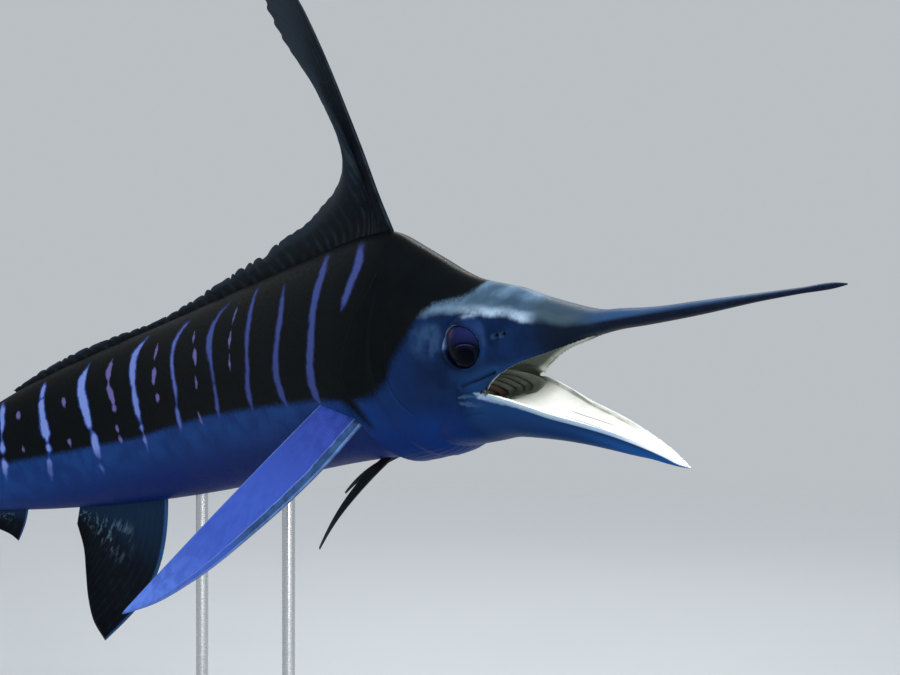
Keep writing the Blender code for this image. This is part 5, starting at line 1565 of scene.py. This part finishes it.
# Station, side and height of the tips, for the right and the left fin
PELVIC_TIPS = {-1: (0.796, -0.040, -0.256), 1: (0.817, 0.040, -0.191)}
PELVIC_CHORD = ((0.0, 0.026), (0.3, 0.018), (0.7, 0.008), (1.0, 0.003))
PELVIC_LEAN = (0.55, 0.83)
for flank, name in ((-1, "right"), (1, "left")):
    half = PELVIC_CHORD[0][1] / 2
    root_front = place(PELVIC_ROOT - half, flank * PELVIC_SIDE, PELVIC_HEIGHT)
    root_rear = place(PELVIC_ROOT + half, flank * PELVIC_SIDE, PELVIC_HEIGHT)
    ahead, left, up = fish_ways(PELVIC_ROOT)
    lean = ahead * PELVIC_LEAN[0] - up * PELVIC_LEAN[1]
    surface = blade(root_front, root_rear, place(*PELVIC_TIPS[flank]), PELVIC_CHORD, lean, -0.012)
    piece = fin("pelvic_streamer_" + name, surface, 4, (37, 60), (0.0056, 0.0010), (0.0030, 0.0008), 1.1)
    put_on(piece, dark_fin, "fin", "pelvic_fin_" + name)

# The room: a pale matt floor with faint clouds, which fades into pale surroundings before its
# rim. Soft lights hang round it as in a studio.

matt_floor, tree, shader = new_finish("matt_pale_floor")
where = add(tree, "ShaderNodeTexCoord", out="Object")
tone = add(tree, "ShaderNodeTexNoise", {"Vector": where, "Scale": 1.5, "Detail": 3.0}, 0)
far = add(tree, "ShaderNodeVectorMath", {0: where}, "Value", operation="LENGTH")
# painted paler further out, standing in for the lamps' light, which falls off there
pale = painted(tree, "#c6cacd", ("#ccd0d3", tone), ("#f7f9fb", (far, 1.5, 6.0)))
tree.links.new(pale, shader.inputs["Base Color"])
shader.inputs["Roughness"].default_value = 0.8
tree.links.new(covered(tree, (far, 3.0, 8.0, 1.0, 0.0)), shader.inputs["Alpha"])
work = bmesh.new()
bmesh.ops.create_circle(work, cap_ends=True, segments=96, radius=9.0)
mesh = bpy.data.meshes.new("studio_floor")
work.to_mesh(mesh)
work.free()
mesh.materials.append(matt_floor)
floor = new_object("studio_floor", mesh)
floor.location.z = cad_low[2] - 0.0005

world = bpy.data.worlds.new("pale_surroundings")
bpy.context.scene.world = world
world.use_nodes = True
world.node_tree.nodes["Background"].inputs["Color"].default_value = linear("#dde3e8")
world.node_tree.nodes["Background"].inputs["Strength"].default_value = 0.68


def soft_light(name, spot, target, size, power, spread=180):
    """A round, soft lamp that shines at a target."""
    lamp = bpy.data.lights.new(name, "AREA")
    lamp.shape = "DISK"
    lamp.size = size
    lamp.energy = power
    lamp.spread = math.radians(spread)
    light = new_object(name, lamp)
    light.location = Vector(spot)
    light.rotation_euler = (Vector(target) - Vector(spot)).to_track_quat("-Z", "Y").to_euler()
    return light


face = REFERENCE_POINT + np.array((0.1, 0.0, 0.0))
soft_light("key_light", face + np.array((1.7, -0.9, 2.1)), face, 1.4, 62)
soft_light("front_light", face + np.array((2.6, -0.5, 0.4)), face, 1.2, 12, 60)
soft_light("rim_light", face + np.array((-2.0, 1.6, 2.4)), face + np.array((-0.6, 0, 0)), 1.6, 50)

# The camera stands level, ahead of the fish and to its right, with a short telephoto lens. Its
# place is given from the fish's reference point.

CAMERA_OFFSET = (2.0853, -1.2305, 0.0197)
CAMERA_RIGHT = (0.5223, 0.8527, 0.0)
LENS = 72.68
SENSOR_WIDTH = 36.0
lens = bpy.data.cameras.new("camera")
lens.lens = LENS
lens.sensor_width = SENSOR_WIDTH
lens.clip_end = 60.0
camera = new_object("camera", lens)
right = Vector(CAMERA_RIGHT).normalized()
upright = Vector((0, 0, 1))
camera.matrix_world = Matrix.Translation(Vector(REFERENCE_POINT + np.array(CAMERA_OFFSET))) @ Matrix(
    (right, upright, right.cross(upright))
).transposed().to_4x4()
bpy.context.scene.camera = camera
bpy.context.scene.view_settings.view_transform = "Standard"
